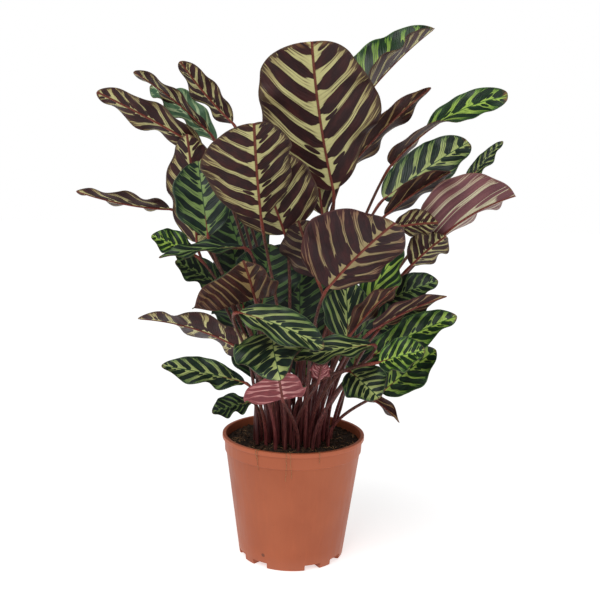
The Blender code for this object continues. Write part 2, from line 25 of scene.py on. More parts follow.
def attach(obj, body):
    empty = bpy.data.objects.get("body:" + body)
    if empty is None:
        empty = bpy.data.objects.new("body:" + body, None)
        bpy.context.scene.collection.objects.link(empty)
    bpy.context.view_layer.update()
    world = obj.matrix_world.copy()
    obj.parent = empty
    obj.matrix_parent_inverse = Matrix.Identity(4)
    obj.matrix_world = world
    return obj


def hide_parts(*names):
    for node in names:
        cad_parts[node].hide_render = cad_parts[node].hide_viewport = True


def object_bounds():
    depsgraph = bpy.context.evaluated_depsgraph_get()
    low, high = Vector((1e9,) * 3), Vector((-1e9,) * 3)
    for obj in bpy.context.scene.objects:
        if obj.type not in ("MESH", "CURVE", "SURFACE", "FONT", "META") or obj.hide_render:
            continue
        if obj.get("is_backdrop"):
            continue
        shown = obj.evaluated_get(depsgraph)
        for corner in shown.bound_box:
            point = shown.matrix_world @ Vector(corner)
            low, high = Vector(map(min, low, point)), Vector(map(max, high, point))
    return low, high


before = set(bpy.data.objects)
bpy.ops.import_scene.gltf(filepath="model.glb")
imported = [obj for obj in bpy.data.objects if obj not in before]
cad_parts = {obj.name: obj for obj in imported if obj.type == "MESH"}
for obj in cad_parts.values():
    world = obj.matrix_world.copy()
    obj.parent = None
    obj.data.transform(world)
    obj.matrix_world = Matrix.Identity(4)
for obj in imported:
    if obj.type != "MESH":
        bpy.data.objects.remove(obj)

bl_info = {
    "name": "Potted peacock plant",
    "version": (1, 0, 0),
    "blender": (4, 5, 0),
    "location": "3D View > Sidebar > Peacock Plant",
    "description": "Builds a peacock plant in its nursery pot, leaf by leaf",
    "category": "Add Mesh",
}

MM = 0.001
UP = np.array((0.0, 0.0, 1.0))
MERGE = 0.00002

# The pot, as its solid is.
POT_HEIGHT = 147.0
RIM_RADIUS = 85.0
RIM_DEPTH = 5.0
RIM_EDGE = 0.9
BAND_DEPTH = 19.5
BAND_TOP_RADIUS = 82.6
BAND_FOOT_RADIUS = 81.8
STEP_IN = 1.4
BASE_RADIUS = 63.0
BASE_EDGE = 1.5
WALL = 1.3
MOUTH_RADIUS = 80.6
POT_STEPS = 144

# Under the pot: a flat middle, and a ring of hollows, of which some open through the wall.
FLOOR = 1.4
FLAT_RADIUS = 46.0
RAMP = 1.5
RING_TOP = 8.2
HOLLOW_TOP = 6.9
HOLLOW_INNER = 48.4
HOLLOW_OUTER = BASE_RADIUS - WALL
NOTCH_REACH = 70.0
NOTCH_HALF = 9.0
NOTCH_OFF_DIAGONAL = 15.75
FIRST_DIAGONAL = 40.0
RIB_ANGLE = 1.5
CUT_BELOW = 2.0
CUT_STEP = 2.5
CHIP_AT = (-31.7, -57.2, 16.5)

# The soil fills the pot to just under the rim.
GAP = 0.35
SOIL_TOP = 137.5
SOIL_EDGE_DROP = 1.2
SOIL_STEPS = 160
SOIL_RINGS = 46
SOIL_BUMP = 1.4
CRUMB_HEIGHT = 2.6
CRUMB_SIZE = 5.0
HOLE_DEPTH = 16.0

# Leaf stalks.
ROOT_SPREAD = 50.0
ROOT_SLOTS = 68
ROOT_RADIUS = 2.2
NECK_RADIUS = 1.5
LEAN_AT_EDGE = 48.0
GOLDEN_ANGLE = 137.508
STALK_RINGS = (0.42, 0.78, 1.0)
STRAIGHT_FOOT = 5.0
KNEE_SHARE = 0.15
KNEE_LEAST = 12.0
KNEE_MOST = 30.0

# Leaf blades, as their solids are.
BLADE_RINGS = (0.045, 0.17, 0.33, 0.5, 0.67, 0.83, 0.95, 1.0)
BLADE_COLUMNS = (-1.0, -0.5, 0.0, 0.5, 1.0)
BLADE_HALF_MIDDLE = 0.5
BLADE_HALF_EDGE = 0.4
TIP_HALF_WIDTH = 0.9
MIDRIB_BASE = 1.2
MIDRIB_TIP = 0.1
SIDE_SHIFT = 1.9
LOBES = 1.6
SLOPE_STEP = 0.002

# The finer blades that are shown.
FINE_ALONG = 64
FINE_ACROSS = 28
CROWD_ENDS = 0.75
FINE_HALF_MIDDLE = 0.32
FINE_HALF_EDGE = 0.2
TUBE_SIDES = 10
STALK_STEPS = 30
RIB_STEPS = 22
KNEE_FROM = 0.86
KNEE_SWELL = 0.22

# The eye that the leaves' places are sighted from, in front of the pot and above it.
EYE = np.array((4.3, -920.0, 424.0))
EYE_PITCH = 7.25
EYE_ROLL = 1.31
EYE_LENS = 47.2

# A leaf that would touch one before it stands nearer or further, or its stalk bows aside.
CLEARANCE = 1.1
SHIFTS = (0, 4, -4, 8, -8, 12, -12, 17, -17, 23, -23, 30, -30, 38, -38, 47, -47, 57, -57, 70, -70)
BOWS = (8.0, 16.0, 26.0, 38.0)
BOW_DIRECTIONS = 8
NEAR_SLOTS = 6
KEEP_OFF_POT = 2.0
RING_SIDES = 20


class Leaf(NamedTuple):
    """One leaf: its stalk and its blade.

    base and tip are the blade's two ends as (across, up) on the upright plane through the pot's
    axis, where the eye sees them, and near is how far in front of that plane each stands. face
    is the way that the upper side looks. fold lifts both halves from the midrib and cup goes on
    lifting them towards the edge, arch and sway bend the midrib by a share of its length, and
    twist turns the blade from base to tip. uneven widens the right half and narrows the left,
    and lobe is the share by which the width comes and goes along each half.
    """

    name: str
    base: tuple
    tip: tuple
    near: tuple
    width: float
    face: tuple
    fold: float = 8.0
    cup: float = 12.0
    arch: float = 0.04
    sway: float = 0.0
    twist: float = 0.0
    wave: float = 3.0
    ripples: float = 2.5
    phase: float = 0.0
    wide_at: float = 0.5
    uneven: float = 0.0
    blunt: float = 0.6
    lobe: float = 0.04


LEAVES = (
    Leaf("leaf_01", (40, 436), (11, 602), (45, 100), 132, (0, 1, 0.25), fold=6, wide_at=0.58,
         wave=5, ripples=3, phase=0.45, uneven=0.04, blunt=0.45, sway=0.02, lobe=0.1),
    Leaf("leaf_02", (37, 322), (113, 400), (150, 205), 98, (-0.25, 1, 0.45), fold=7, cup=8,
         uneven=0.18, wide_at=0.46, blunt=0.5),
    Leaf("leaf_03", (-43, 401), (-53, 510), (115, 175), 95, (-0.3, 1, 0.4), fold=16, cup=5,
         uneven=0.12, blunt=0.55),
    Leaf("leaf_04", (-49, 308), (-63, 352), (130, 195), 92, (-0.1, 1, 0.75), fold=-14, cup=-22,
         uneven=0.34),
    Leaf("leaf_05", (-26, 266), (-16, 210), (120, 185), 80, (-0.35, -1, 0.6), fold=12, arch=0.12,
         wide_at=0.4),
    Leaf("leaf_06", (162, 379), (251, 434), (75, 120), 82, (-0.2, 0.7, 0.75), fold=26, wave=5,
         uneven=0.15, wide_at=0.43, blunt=0.46, sway=0.05),
    Leaf("leaf_07", (99, 427), (194, 494), (40, 25), 54, (-0.2, -0.85, 0.45), blunt=0.44),
    Leaf("leaf_08", (-67, 290), (34, 250), (165, 178), 40, (0, -0.75, 0.66), arch=0.08),
    Leaf("leaf_09", (-15, 384), (-54, 478), (85, 120), 100, (0.1, 1, 0.3), fold=5, wide_at=0.45),
    Leaf("leaf_10", (92, 242), (190, 292), (95, 115), 42, (-0.1, -0.7, 0.7), wave=5),
    Leaf("leaf_11", (-113, 480), (-233, 541), (40, 80), 38, (0.3, 0.75, 0.5), fold=4, cup=4, wave=5,
         uneven=-0.1, blunt=0.48, arch=0.02),
    Leaf("leaf_12", (106, 466), (236, 547), (10, 0), 43, (0, -0.35, 1), twist=-165, fold=4, arch=0.1,
         wide_at=0.42, blunt=0.4),
    Leaf("leaf_13", (-78, 510), (-138, 577), (30, 45), 36, (0.6, 0.8, 0.3), fold=6, wave=4,
         blunt=0.5, sway=0.07),
    Leaf("leaf_14", (54, 458), (148, 554), (15, 10), 35, (-0.4, 0.6, 0.4), fold=8, wave=5,
         wide_at=0.45),
    Leaf("leaf_15", (61, 526), (149, 619), (-10, -20), 90, (-0.59, -0.44, 0.68), fold=38, cup=8,
         wave=5, wide_at=0.33),
    Leaf("leaf_16", (-105, 380), (-117, 466), (75, 60), 66, (0.1, -1, 0.3)),
    Leaf("leaf_17", (-118, 372), (-130, 496), (25, 55), 68, (0.2, 1, 0.2), wide_at=0.45),
    Leaf("leaf_18", (-150, 410), (-258, 428), (10, 40), 38, (0.1, 0.42, 0.95), fold=14, arch=-0.04,
         wave=5, wide_at=0.42),
    Leaf("leaf_19", (-104, 498), (-191, 564), (0, 20), 30, (0.5, 0.45, 0.7), fold=8, wave=4,
         blunt=0.45, wide_at=0.6),
    Leaf("leaf_20", (-97, 489), (-172, 549), (-25, -20), 46, (0.3, -0.7, 0.6), wave=6, ripples=3),
    Leaf("leaf_21", (-60, 206), (-159, 224), (75, 100), 33, (0.1, -0.8, 0.6), wave=5),
    Leaf("leaf_22", (-48, 236), (-187, 280), (70, 60), 52, (0.2, 0.6, 0.7), twist=50, wave=5,
         arch=0.08, blunt=0.5),
    Leaf("leaf_23", (91, 255), (-1, 234), (130, 150), 36, (0, -0.5, 0.85)),
    Leaf("leaf_24", (66, 222), (102, 190), (95, 130), 50, (0.1, -0.9, 0.5)),
    Leaf("leaf_25", (-14, 187), (-21, 223), (98, 150), 70, (-0.1, 1, 0.65), fold=-12, cup=-20,
         uneven=0.18),
    Leaf("leaf_26", (29, 211), (32, 229), (112, 130), 22, (0, 1, 0.6)),
    Leaf("leaf_27", (100, 234), (154, 250), (118, 140), 38, (0, -0.8, 0.6)),
    Leaf("leaf_28", (105, 198), (167, 251), (60, 80), 48, (-0.1, -0.85, 0.5)),
    Leaf("leaf_29", (66, 268), (119, 326), (110, 150), 36, (-0.5, 0.7, 0.4)),
    Leaf("leaf_30", (93, 274), (177, 315), (115, 120), 36, (-0.2, 0.6, 0.8), wide_at=0.35),
    Leaf("leaf_31", (134, 351), (173, 386), (70, 90), 46, (-0.2, 0.85, 0.4)),
    Leaf("leaf_32", (112, 395), (163, 401), (95, 115), 32, (0, 0.9, 0.4)),
    Leaf("leaf_33", (101, 408), (175, 460), (60, 90), 34, (-0.2, 0.7, 0.7)),
    Leaf("leaf_34", (195, 449), (233, 496), (35, 40), 18, (-0.4, -0.7, 0.3), wide_at=0.38),
    Leaf("leaf_35", (105, 308), (166, 333), (80, 95), 38, (-0.2, -0.7, 0.6)),
    Leaf("leaf_36", (98, 273), (154, 315), (60, 70), 46, (0, -0.9, 0.4)),
    Leaf("leaf_37", (84, 306), (122, 373), (80, 100), 52, (-0.6, -0.7, 0.2)),
    Leaf("leaf_38", (-120, 357), (-171, 378), (70, 85), 34, (0.1, -0.7, 0.6), wave=4),
    Leaf("leaf_39", (-64, 367), (-162, 353), (85, 110), 26, (0, -0.45, 0.9)),
    Leaf("leaf_40", (-88, 320), (-143, 349), (55, 70), 38, (0.2, -0.7, 0.6), wave=4),
    Leaf("leaf_41", (-52, 182), (-98, 168), (45, 60), 32, (0, -0.6, 0.8), wave=4),
    Leaf("leaf_42", (62, 200), (127, 161), (10, 40), 34, (0.2, 0.6, 0.7), arch=0.1),
    Leaf("leaf_43", (28, 408), (15, 492), (20, 45), 46, (0, 1, 0.2)),
    Leaf("leaf_44", (62, 264), (58, 332), (60, 70), 56, (0, -1, 0.2)),
    Leaf("leaf_45", (-41, 298), (-32, 372), (50, 55), 76, (0.1, -1, 0.2)),
    Leaf("leaf_46", (5, 272), (3, 352), (45, 50), 76, (0, -1, 0.2)),
    Leaf("leaf_47", (-62, 296), (-76, 368), (30, 30), 70, (0.1, -1, 0.2)),
    Leaf("leaf_48", (0, 420), (-10, 500), (-60, -110), 94, (0, -1, 0.5)),
    Leaf("leaf_49", (58, 330), (92, 396), (-60, -110), 80, (-0.2, -1, 0.5)),
    Leaf("leaf_50", (-58, 335), (-85, 415), (-60, -120), 90, (0.2, -1, 0.5)),
    Leaf("leaf_51", (-10, 300), (-5, 372), (-80, -140), 96, (0, -1, 0.8)),
    Leaf("leaf_52", (50, 265), (85, 305), (-80, -140), 80, (-0.2, -1, 0.8)),
    Leaf("leaf_53", (-50, 265), (-80, 305), (-80, -140), 76, (0.2, -1, 0.8)),
    Leaf("leaf_54", (22, 335), (0, 400), (90, 100), 56, (0, 1, 0.3)),
    Leaf("leaf_55", (12, 212), (16, 296), (-35, -65), 84, (0, -1, 0.35)),
    Leaf("leaf_56", (-38, 210), (-55, 285), (-30, -60), 74, (0.15, -1, 0.35)),
    Leaf("leaf_57", (68, 222), (88, 300), (-40, -70), 78, (-0.15, -1, 0.35)),
)


class Tones(NamedTuple):
    """One side's colours, as red, green and blue out of 255.

    spread is half the share of each row of veins that its long oval fills, and rim is the painted
    highlight along the very edge.
    """

    pale: tuple
    pale_edge: tuple
    oval: tuple
    oval_glow: tuple
    margin: tuple
    rib: tuple
    rim: tuple
    spread: float = 0.28


UPPER = Tones(
    (166, 178, 108), (90, 122, 62), (14, 28, 22), (26, 46, 30), (28, 52, 32), (46, 74, 42),
    (112, 132, 92),
)
UPPER_FRESH = Tones(
    (160, 190, 82), (84, 128, 44), (14, 34, 20), (28, 58, 26), (30, 64, 28), (58, 96, 40),
    (116, 146, 84),
)
# Painted shade: a darker copy of the upper side, for leaves that stand in the shade behind the
# middle of the clump.
UPPER_PAINTED_SHADE = Tones(
    (122, 146, 82), (62, 92, 44), (11, 25, 20), (20, 40, 28), (22, 44, 28), (38, 64, 38),
    (84, 106, 74),
)
# Painted shade: a still darker copy of the upper side, for the leaves deep inside and behind the
# clump.
UPPER_PAINTED_DEEP_SHADE = Tones(
    (84, 112, 58), (44, 72, 36), (8, 20, 16), (14, 32, 22), (14, 34, 22), (26, 48, 30),
    (54, 76, 50),
)
UPPER_PALE = Tones(
    (190, 206, 160), (140, 166, 116), (66, 98, 72), (96, 128, 92), (80, 112, 78), (98, 128, 88),
    (178, 192, 156),
)
LOWER = Tones(
    (196, 190, 132), (152, 132, 86), (40, 15, 16), (62, 24, 22), (74, 54, 38), (106, 44, 32),
    (84, 60, 42), 0.3,
)
LOWER_RED = Tones(
    (158, 142, 100), (122, 78, 62), (38, 13, 17), (58, 21, 23), (62, 29, 28), (108, 40, 36),
    (84, 44, 40), 0.34,
)
# Painted shade: a darker copy of the lower side, for a leaf deep inside the clump.
LOWER_PAINTED_DEEP_SHADE = Tones(
    (122, 108, 78), (86, 62, 48), (34, 13, 15), (48, 18, 19), (48, 26, 24), (86, 36, 30),
    (64, 38, 32), 0.33,
)
LOWER_PINK = Tones(
    (206, 152, 148), (188, 118, 118), (118, 52, 58), (136, 62, 66), (140, 68, 72), (98, 32, 38),
    (156, 92, 92), 0.3,
)
LOWER_FADED = Tones(
    (196, 190, 158), (172, 146, 128), (96, 56, 62), (122, 76, 78), (110, 70, 68), (118, 62, 58),
    (128, 92, 80), 0.26,
)
LOWER_BROWN = Tones(
    (158, 134, 88), (106, 72, 50), (44, 20, 17), (66, 28, 23), (70, 38, 30), (100, 44, 34),
    (96, 60, 42), 0.35,
)
DRY = (112, 78, 50)

# The upper and the lower side of the leaves that are not coloured as most are. The painted shade
# tones are darker copies that paint the shade on leaves inside the clump.
TONES_OF = {
    "leaf_02": (UPPER, LOWER_RED),
    "leaf_04": (UPPER, LOWER_BROWN),
    "leaf_06": (UPPER, LOWER_FADED),
    "leaf_10": (UPPER_FRESH, LOWER),
    "leaf_12": (UPPER_FRESH, LOWER_BROWN),
    "leaf_14": (UPPER, LOWER_BROWN),
    "leaf_15": (UPPER_FRESH, LOWER),
    "leaf_16": (UPPER_PAINTED_SHADE, LOWER),
    "leaf_20": (UPPER_PALE, LOWER_FADED),
    "leaf_25": (UPPER, LOWER_PINK),
    "leaf_26": (UPPER, LOWER_PINK),
    "leaf_27": (UPPER_FRESH, LOWER),
    "leaf_28": (UPPER_FRESH, LOWER),
    "leaf_29": (UPPER, LOWER_BROWN),
    "leaf_30": (UPPER, LOWER_RED),
    "leaf_33": (UPPER, LOWER_BROWN),
    "leaf_35": (UPPER_PAINTED_SHADE, LOWER),
    "leaf_36": (UPPER_PAINTED_SHADE, LOWER),
    "leaf_37": (UPPER_FRESH, LOWER),
    "leaf_38": (UPPER_FRESH, LOWER),
    "leaf_39": (UPPER_PAINTED_SHADE, LOWER),
    "leaf_40": (UPPER_PAINTED_SHADE, LOWER),
    "leaf_41": (UPPER_PAINTED_SHADE, LOWER),
    "leaf_42": (UPPER, LOWER_BROWN),
    "leaf_45": (UPPER_PAINTED_DEEP_SHADE, LOWER),
    "leaf_46": (UPPER_PAINTED_DEEP_SHADE, LOWER),
    "leaf_47": (UPPER_PAINTED_DEEP_SHADE, LOWER),
    "leaf_50": (UPPER_PAINTED_DEEP_SHADE, LOWER),
    "leaf_51": (UPPER_PAINTED_DEEP_SHADE, LOWER),
    "leaf_53": (UPPER_PAINTED_DEEP_SHADE, LOWER),
    "leaf_54": (UPPER_PAINTED_DEEP_SHADE, LOWER_PAINTED_DEEP_SHADE),
    "leaf_55": (UPPER_PAINTED_DEEP_SHADE, LOWER),
    "leaf_56": (UPPER_PAINTED_DEEP_SHADE, LOWER),
    "leaf_57": (UPPER_PAINTED_DEEP_SHADE, LOWER),
}

# How far the veins run towards the tip, in half widths, and how many ovals lie along the midrib,
# where it isn't as the leaf's form tells.
VEINS_OF = {
    "leaf_01": (0.9, 6.5),
    "leaf_03": (0.5, 6.5),
    "leaf_04": (3.4, 3.0),
    "leaf_06": (6.0, 1.3),
    "leaf_08": (2.2, 5.0),
    "leaf_14": (3.0, 3.5),
    "leaf_18": (3.0, 3.5),
    "leaf_22": (0.4, 7.0),
    "leaf_23": (2.6, 4.0),
    "leaf_29": (3.0, 3.0),
    "leaf_30": (3.0, 3.0),
    "leaf_33": (3.0, 3.0),
    "leaf_37": (3.0, 3.0),
    "leaf_39": (3.0, 4.0),
    "leaf_42": (4.0, 2.0),
    "leaf_43": (2.0, 4.0),
    "leaf_44": (3.0, 3.0),
}


class Form(NamedTuple):
    """A blade set in space: its ends, the way it runs and the way its upper side looks."""

    leaf: Leaf
    start: np.ndarray
    chord: np.ndarray
    length: float
    upper: np.ndarray
    side: np.ndarray


class Place(NamedTuple):
    """A leaf's blade, where its stalk stands in the soil, and how far the stalk bows aside."""

    form: Form
    root: np.ndarray
    bow: tuple


def unit(vectors):
    return vectors / np.linalg.norm(vectors, axis=-1, keepdims=True)


def square_to(vectors, axis):
    """The vectors made perpendicular to the axis, at length 1."""
    return unit(vectors - np.sum(vectors * axis, axis=-1, keepdims=True) * axis)


def sighted(place, near):
    """The point the eye sees at a place on the middle plane, standing nearer by a distance."""
    seen = np.array((place[0], 0.0, place[1]))
    return EYE + (seen - EYE) * (1.0 + near / EYE[1])


def blade_form(leaf, shift=0.0):
    start = sighted(leaf.base, leaf.near[0] + shift)
    chord = sighted(leaf.tip, leaf.near[1] + shift) - start
    axis = unit(chord)
    upper = square_to(np.array(leaf.face, float), axis)
    return Form(leaf, start, chord, float(np.linalg.norm(chord)), upper, np.cross(axis, upper))


def midrib(form, t):
    """Points of the midrib at shares t of its length, and the way that it runs there."""
    leaf = form.leaf
    bend = form.length * 4.0 * (leaf.arch * form.upper + leaf.sway * form.side)
    t = t[:, None]
    points = form.start + t * form.chord + t * (1 - t) * bend
    return points, unit(form.chord + (1 - 2 * t) * bend)


def half_width(leaf, t, s):
    """The width of the blade's left or right half at a share t of its length."""
    skew = math.log(0.5) / math.log(leaf.wide_at)
    swell = np.sin(math.pi * np.clip(t, 0, 1) ** skew).clip(0) ** leaf.blunt
    turns = 2 * math.pi * (LOBES * t + leaf.phase) + SIDE_SHIFT * (s > 0)
    swell = swell * (1 + leaf.lobe * np.sin(turns))
    end = NECK_RADIUS + (TIP_HALF_WIDTH - NECK_RADIUS) * t
    return np.hypot(leaf.width / 2 * swell * (1 + leaf.uneven * np.sign(s)), end)


def blade_points(form, t, s):
    """Points of the blade's middle surface: t runs from base to tip and s from edge to edge."""
    leaf = form.leaf
    points, along = midrib(form, t)
    upper = square_to(form.upper[None, :], along)
    side = np.cross(along, upper)
    turn = np.radians(leaf.twist) * (t - 0.5)[:, None]
    side, upper = (
        side * np.cos(turn) + upper * np.sin(turn),
        upper * np.cos(turn) - side * np.sin(turn),
    )
    out = np.abs(s)
    fold = math.radians(leaf.fold)
    cup = math.radians(leaf.cup if abs(leaf.cup) > 0.1 else 0.1)
    lift = fold + cup * out
    half = half_width(leaf, t, s)
    reach = np.sign(s) * half * (np.sin(lift) - math.sin(fold)) / cup
    rise = half * (math.cos(fold) - np.cos(lift)) / cup
    turns = 2 * math.pi * (leaf.ripples * t + leaf.phase) + SIDE_SHIFT * (s > 0)
    ruffle = leaf.wave * out**2 * np.sqrt(np.sin(math.pi * t.clip(0, 1)).clip(0)) * np.sin(turns)
    reach = reach - np.sign(s) * np.sin(lift) * ruffle
    rise = rise + np.cos(lift) * ruffle
    return points + side * reach[:, None] + upper * rise[:, None]


def blade_normals(form, t, s):
    """The way that the upper side looks at each point of the blade."""
    h = SLOPE_STEP
    run = blade_points(form, (t + h).clip(0, 1), s) - blade_points(form, (t - h).clip(0, 1), s)
    across = blade_points(form, t, s + h) - blade_points(form, t, s - h)
    return unit(np.cross(across, run))


def blade_rings(form, shares, columns, extra=0.0):
    """Closed rings around the blade: its upper side from left to right, then its lower side back."""
    columns = np.array(columns)
    count = len(columns)
    t = np.repeat(np.array(shares), count)
    s = np.tile(columns, len(shares))
    points = blade_points(form, t, s)
    normals = blade_normals(form, t, s)
    half = BLADE_HALF_MIDDLE + (BLADE_HALF_EDGE - BLADE_HALF_MIDDLE) * np.abs(s) + extra
    ridge = (MIDRIB_BASE + (MIDRIB_TIP - MIDRIB_BASE) * t) * (s == 0)
    above = (points + normals * half[:, None]).reshape(len(shares), count, 3)
    below = (points - normals * (half + ridge)[:, None]).reshape(len(shares), count, 3)
    return np.concatenate((above, below[:, ::-1]), axis=1)


def stalk_path(form, root, bow):
    """Bends of the stalk: straight up out of the soil, then a curve that runs into the midrib."""
    _, along = midrib(form, np.zeros(1))
    foot = np.array((root[0], root[1], SOIL_TOP + STRAIGHT_FOOT))
    span = float(np.linalg.norm(form.start - foot))
    knee = min(max(KNEE_SHARE * span, KNEE_LEAST), KNEE_MOST)
    belly = np.array((bow[0], bow[1], 0.0))
    return (
        foot,
        foot + 0.35 * span * UP + belly,
        form.start - knee * along[0] + 0.5 * belly,
        form.start,
    )


def curve_at(path, u):
    """Points and directions of the cubic curve through a path's four places."""
    a, b, c, d = path
    u = np.array(u)[:, None]
    v = 1 - u
    points = v**3 * a + 3 * v**2 * u * b + 3 * v * u**2 * c + u**3 * d
    return points, unit(v**2 * (b - a) + 2 * v * u * (c - b) + u**2 * (d - c))


def stalk_rings(place, shares, columns, extra=0.0):
    """Round rings up the stalk, which start in the soil and meet the blade's first ring."""
    form, root, bow = place
    points, along = curve_at(stalk_path(form, root, bow), (0.0, *shares))
    buried = np.array((root[0], root[1], SOIL_TOP - HOLE_DEPTH + GAP))
    points = np.concatenate((buried[None, :], points))
    along = np.concatenate((UP[None, :], along))
    side = square_to(form.side[None, :], along)
    upper = np.cross(side, along)
    share = np.concatenate(((0.0, 0.0), shares))
    radius = (ROOT_RADIUS + (NECK_RADIUS - ROOT_RADIUS) * share + extra)[:, None, None]
    count = 2 * len(columns)
    angles = (math.pi * (1 - (np.arange(count) + 0.5) * 2 / count))[None, :, None]
    ring = np.cos(angles) * side[:, None] + np.sin(angles) * upper[:, None]
    return points[:, None] + radius * ring


def leaf_rings(place):
    stalk = stalk_rings(place, STALK_RINGS, BLADE_COLUMNS)
    return np.concatenate((stalk, blade_rings(place.form, BLADE_RINGS, BLADE_COLUMNS)))


def loft_faces(rings, count):
    """Triangles between rings of count points, split alike on the upper and the lower side."""
    faces = []
    half = count // 2
    for k in range(rings - 1):
        low = k * count
        high = low + count
        for i in range(count):
            j = (i + 1) % count
            if i < half:
                faces += [(low + i, low + j, high + j), (low + i, high + j, high + i)]
            else:
                faces += [(low + i, low + j, high + i), (low + j, high + j, high + i)]
    return faces


def root_slots(count):
    """Places in the soil, spread evenly from its middle outwards."""
    index = np.arange(count)
    radius = ROOT_SPREAD * np.sqrt((index + 0.5) / count)
    angle = np.radians(GOLDEN_ANGLE) * index
    return np.stack((radius * np.cos(angle), radius * np.sin(angle)), axis=1)


def near_slots(form, free):
    """Free places close to where a leaf would stand: the further out, the more it leans."""
    out = form.start[:2]
    reach = float(np.linalg.norm(out))
    lean = math.degrees(math.atan2(reach, form.start[2] - SOIL_TOP))
    wish = out / max(reach, 1e-6) * ROOT_SPREAD * min(lean / LEAN_AT_EDGE, 1.0)
    return sorted(free, key=lambda slot: math.dist(slot, wish))[:NEAR_SLOTS]


def bows():
    """Ways to bow a stalk aside, the smallest first."""
    yield (0.0, 0.0)
    for size in BOWS:
        for k in range(BOW_DIRECTIONS):
            angle = 2 * math.pi * k / BOW_DIRECTIONS
            yield (size * math.cos(angle), size * math.sin(angle))


def pot_outside():
    """A simple ring around the pot's wall, its rim and the soil, for leaves to keep clear of."""
    off = KEEP_OFF_POT
    section = np.array(
        (
            (BASE_RADIUS + off, 0.0),
            (RIM_RADIUS + off, POT_HEIGHT - BAND_DEPTH),
            (RIM_RADIUS + off, POT_HEIGHT + off),
            (MOUTH_RADIUS - off, POT_HEIGHT + off),
            (MOUTH_RADIUS - off, SOIL_TOP + off),
            (ROOT_SPREAD + 3 * off, SOIL_TOP + off),
        )
    )
    angles = np.arange(RING_SIDES) * 2 * math.pi / RING_SIDES
    rings = [
        [(r * math.cos(a), r * math.sin(a), z) for a in angles] for r, z in section
    ]
    return BVHTree.FromPolygons(sum(rings, []), loft_faces(len(rings), RING_SIDES))


def touches(rings, obstacles):
    faces = loft_faces(len(rings), rings.shape[1])
    tree = BVHTree.FromPolygons(rings.reshape(-1, 3).tolist(), faces)
    return any(tree.overlap(obstacle) for obstacle in obstacles)


def clear_place(leaf, free, obstacles):
    """The first place of the leaf, and way for its stalk, that touch nothing."""
    for shift in SHIFTS:
        form = blade_form(leaf, shift)
        blade = blade_rings(form, BLADE_RINGS, BLADE_COLUMNS, CLEARANCE)
        if touches(blade, obstacles):
            continue
        for bow in bows():
            for root in near_slots(form, free):
                place = Place(form, root, bow)
                stalk = stalk_rings(place, STALK_RINGS, BLADE_COLUMNS, CLEARANCE)
                if not touches(np.concatenate((stalk, blade[:1])), obstacles):
                    return place
    raise ValueError(f"{leaf.name} finds no clear place")


def placed_leaves():
    """Each leaf's place, set one after the other clear of those before."""
    free = [tuple(slot) for slot in root_slots(ROOT_SLOTS).tolist()]
    pot = pot_outside()
    points = []
    triangles = []
    placed = []
    for leaf in LEAVES:
        obstacles = [pot, BVHTree.FromPolygons(points, triangles)] if points else [pot]
        place = clear_place(leaf, free, obstacles)
        free.remove(place.root)
        placed.append(place)
        rings = leaf_rings(place)
        offset = len(points)
        points += rings.reshape(-1, 3).tolist()
        faces = loft_faces(len(rings), rings.shape[1])
        triangles += [tuple(offset + v for v in face) for face in faces]
    return placed


def linear(tone):
    """A colour out of 255 as the shader takes it."""
    return tuple(
        c / 12.92 if c <= 0.04045 else ((c + 0.055) / 1.055) ** 2.4
        for c in (part / 255 for part in tone)
    )


class Field:
    """A value that varies over a surface. Python's operators on it add Math nodes."""

    def __init__(self, paint, socket):
        self.paint = paint
        self.socket = socket

    def math(self, operation, *terms):
        terms = dict(enumerate(terms))
        node = self.paint.add("ShaderNodeMath", {"operation": operation}, terms)
        return Field(self.paint, node.outputs[0])

    def __add__(self, other):
        return self.math("ADD", self, other)

    def __radd__(self, other):
        return self.math("ADD", other, self)

    def __sub__(self, other):
        return self.math("SUBTRACT", self, other)

    def __rsub__(self, other):
        return self.math("SUBTRACT", other, self)

    def __mul__(self, other):
        return self.math("MULTIPLY", self, other)

    def __rmul__(self, other):
        return self.math("MULTIPLY", other, self)

    def __truediv__(self, other):
        return self.math("DIVIDE", self, other)

    def __abs__(self):
        return self.math("ABSOLUTE", self)

    def floor(self):
        return self.math("FLOOR", self)

    def fraction(self):
        return self.math("FRACT", self)

    def most(self, other):
        return self.math("MAXIMUM", self, other)

    def above(self, edge):
        return self.math("GREATER_THAN", self, edge)

    def ramp(self, low, high, to_low=0.0, to_high=1.0):
        """Goes smoothly from to_low, where this is low, to to_high, where it is high."""
        node = self.paint.add(
            "ShaderNodeMapRange",
            {"interpolation_type": "SMOOTHSTEP"},
            {0: self, 1: low, 2: high, 3: to_low, 4: to_high},
        )
        return Field(self.paint, node.outputs[0])


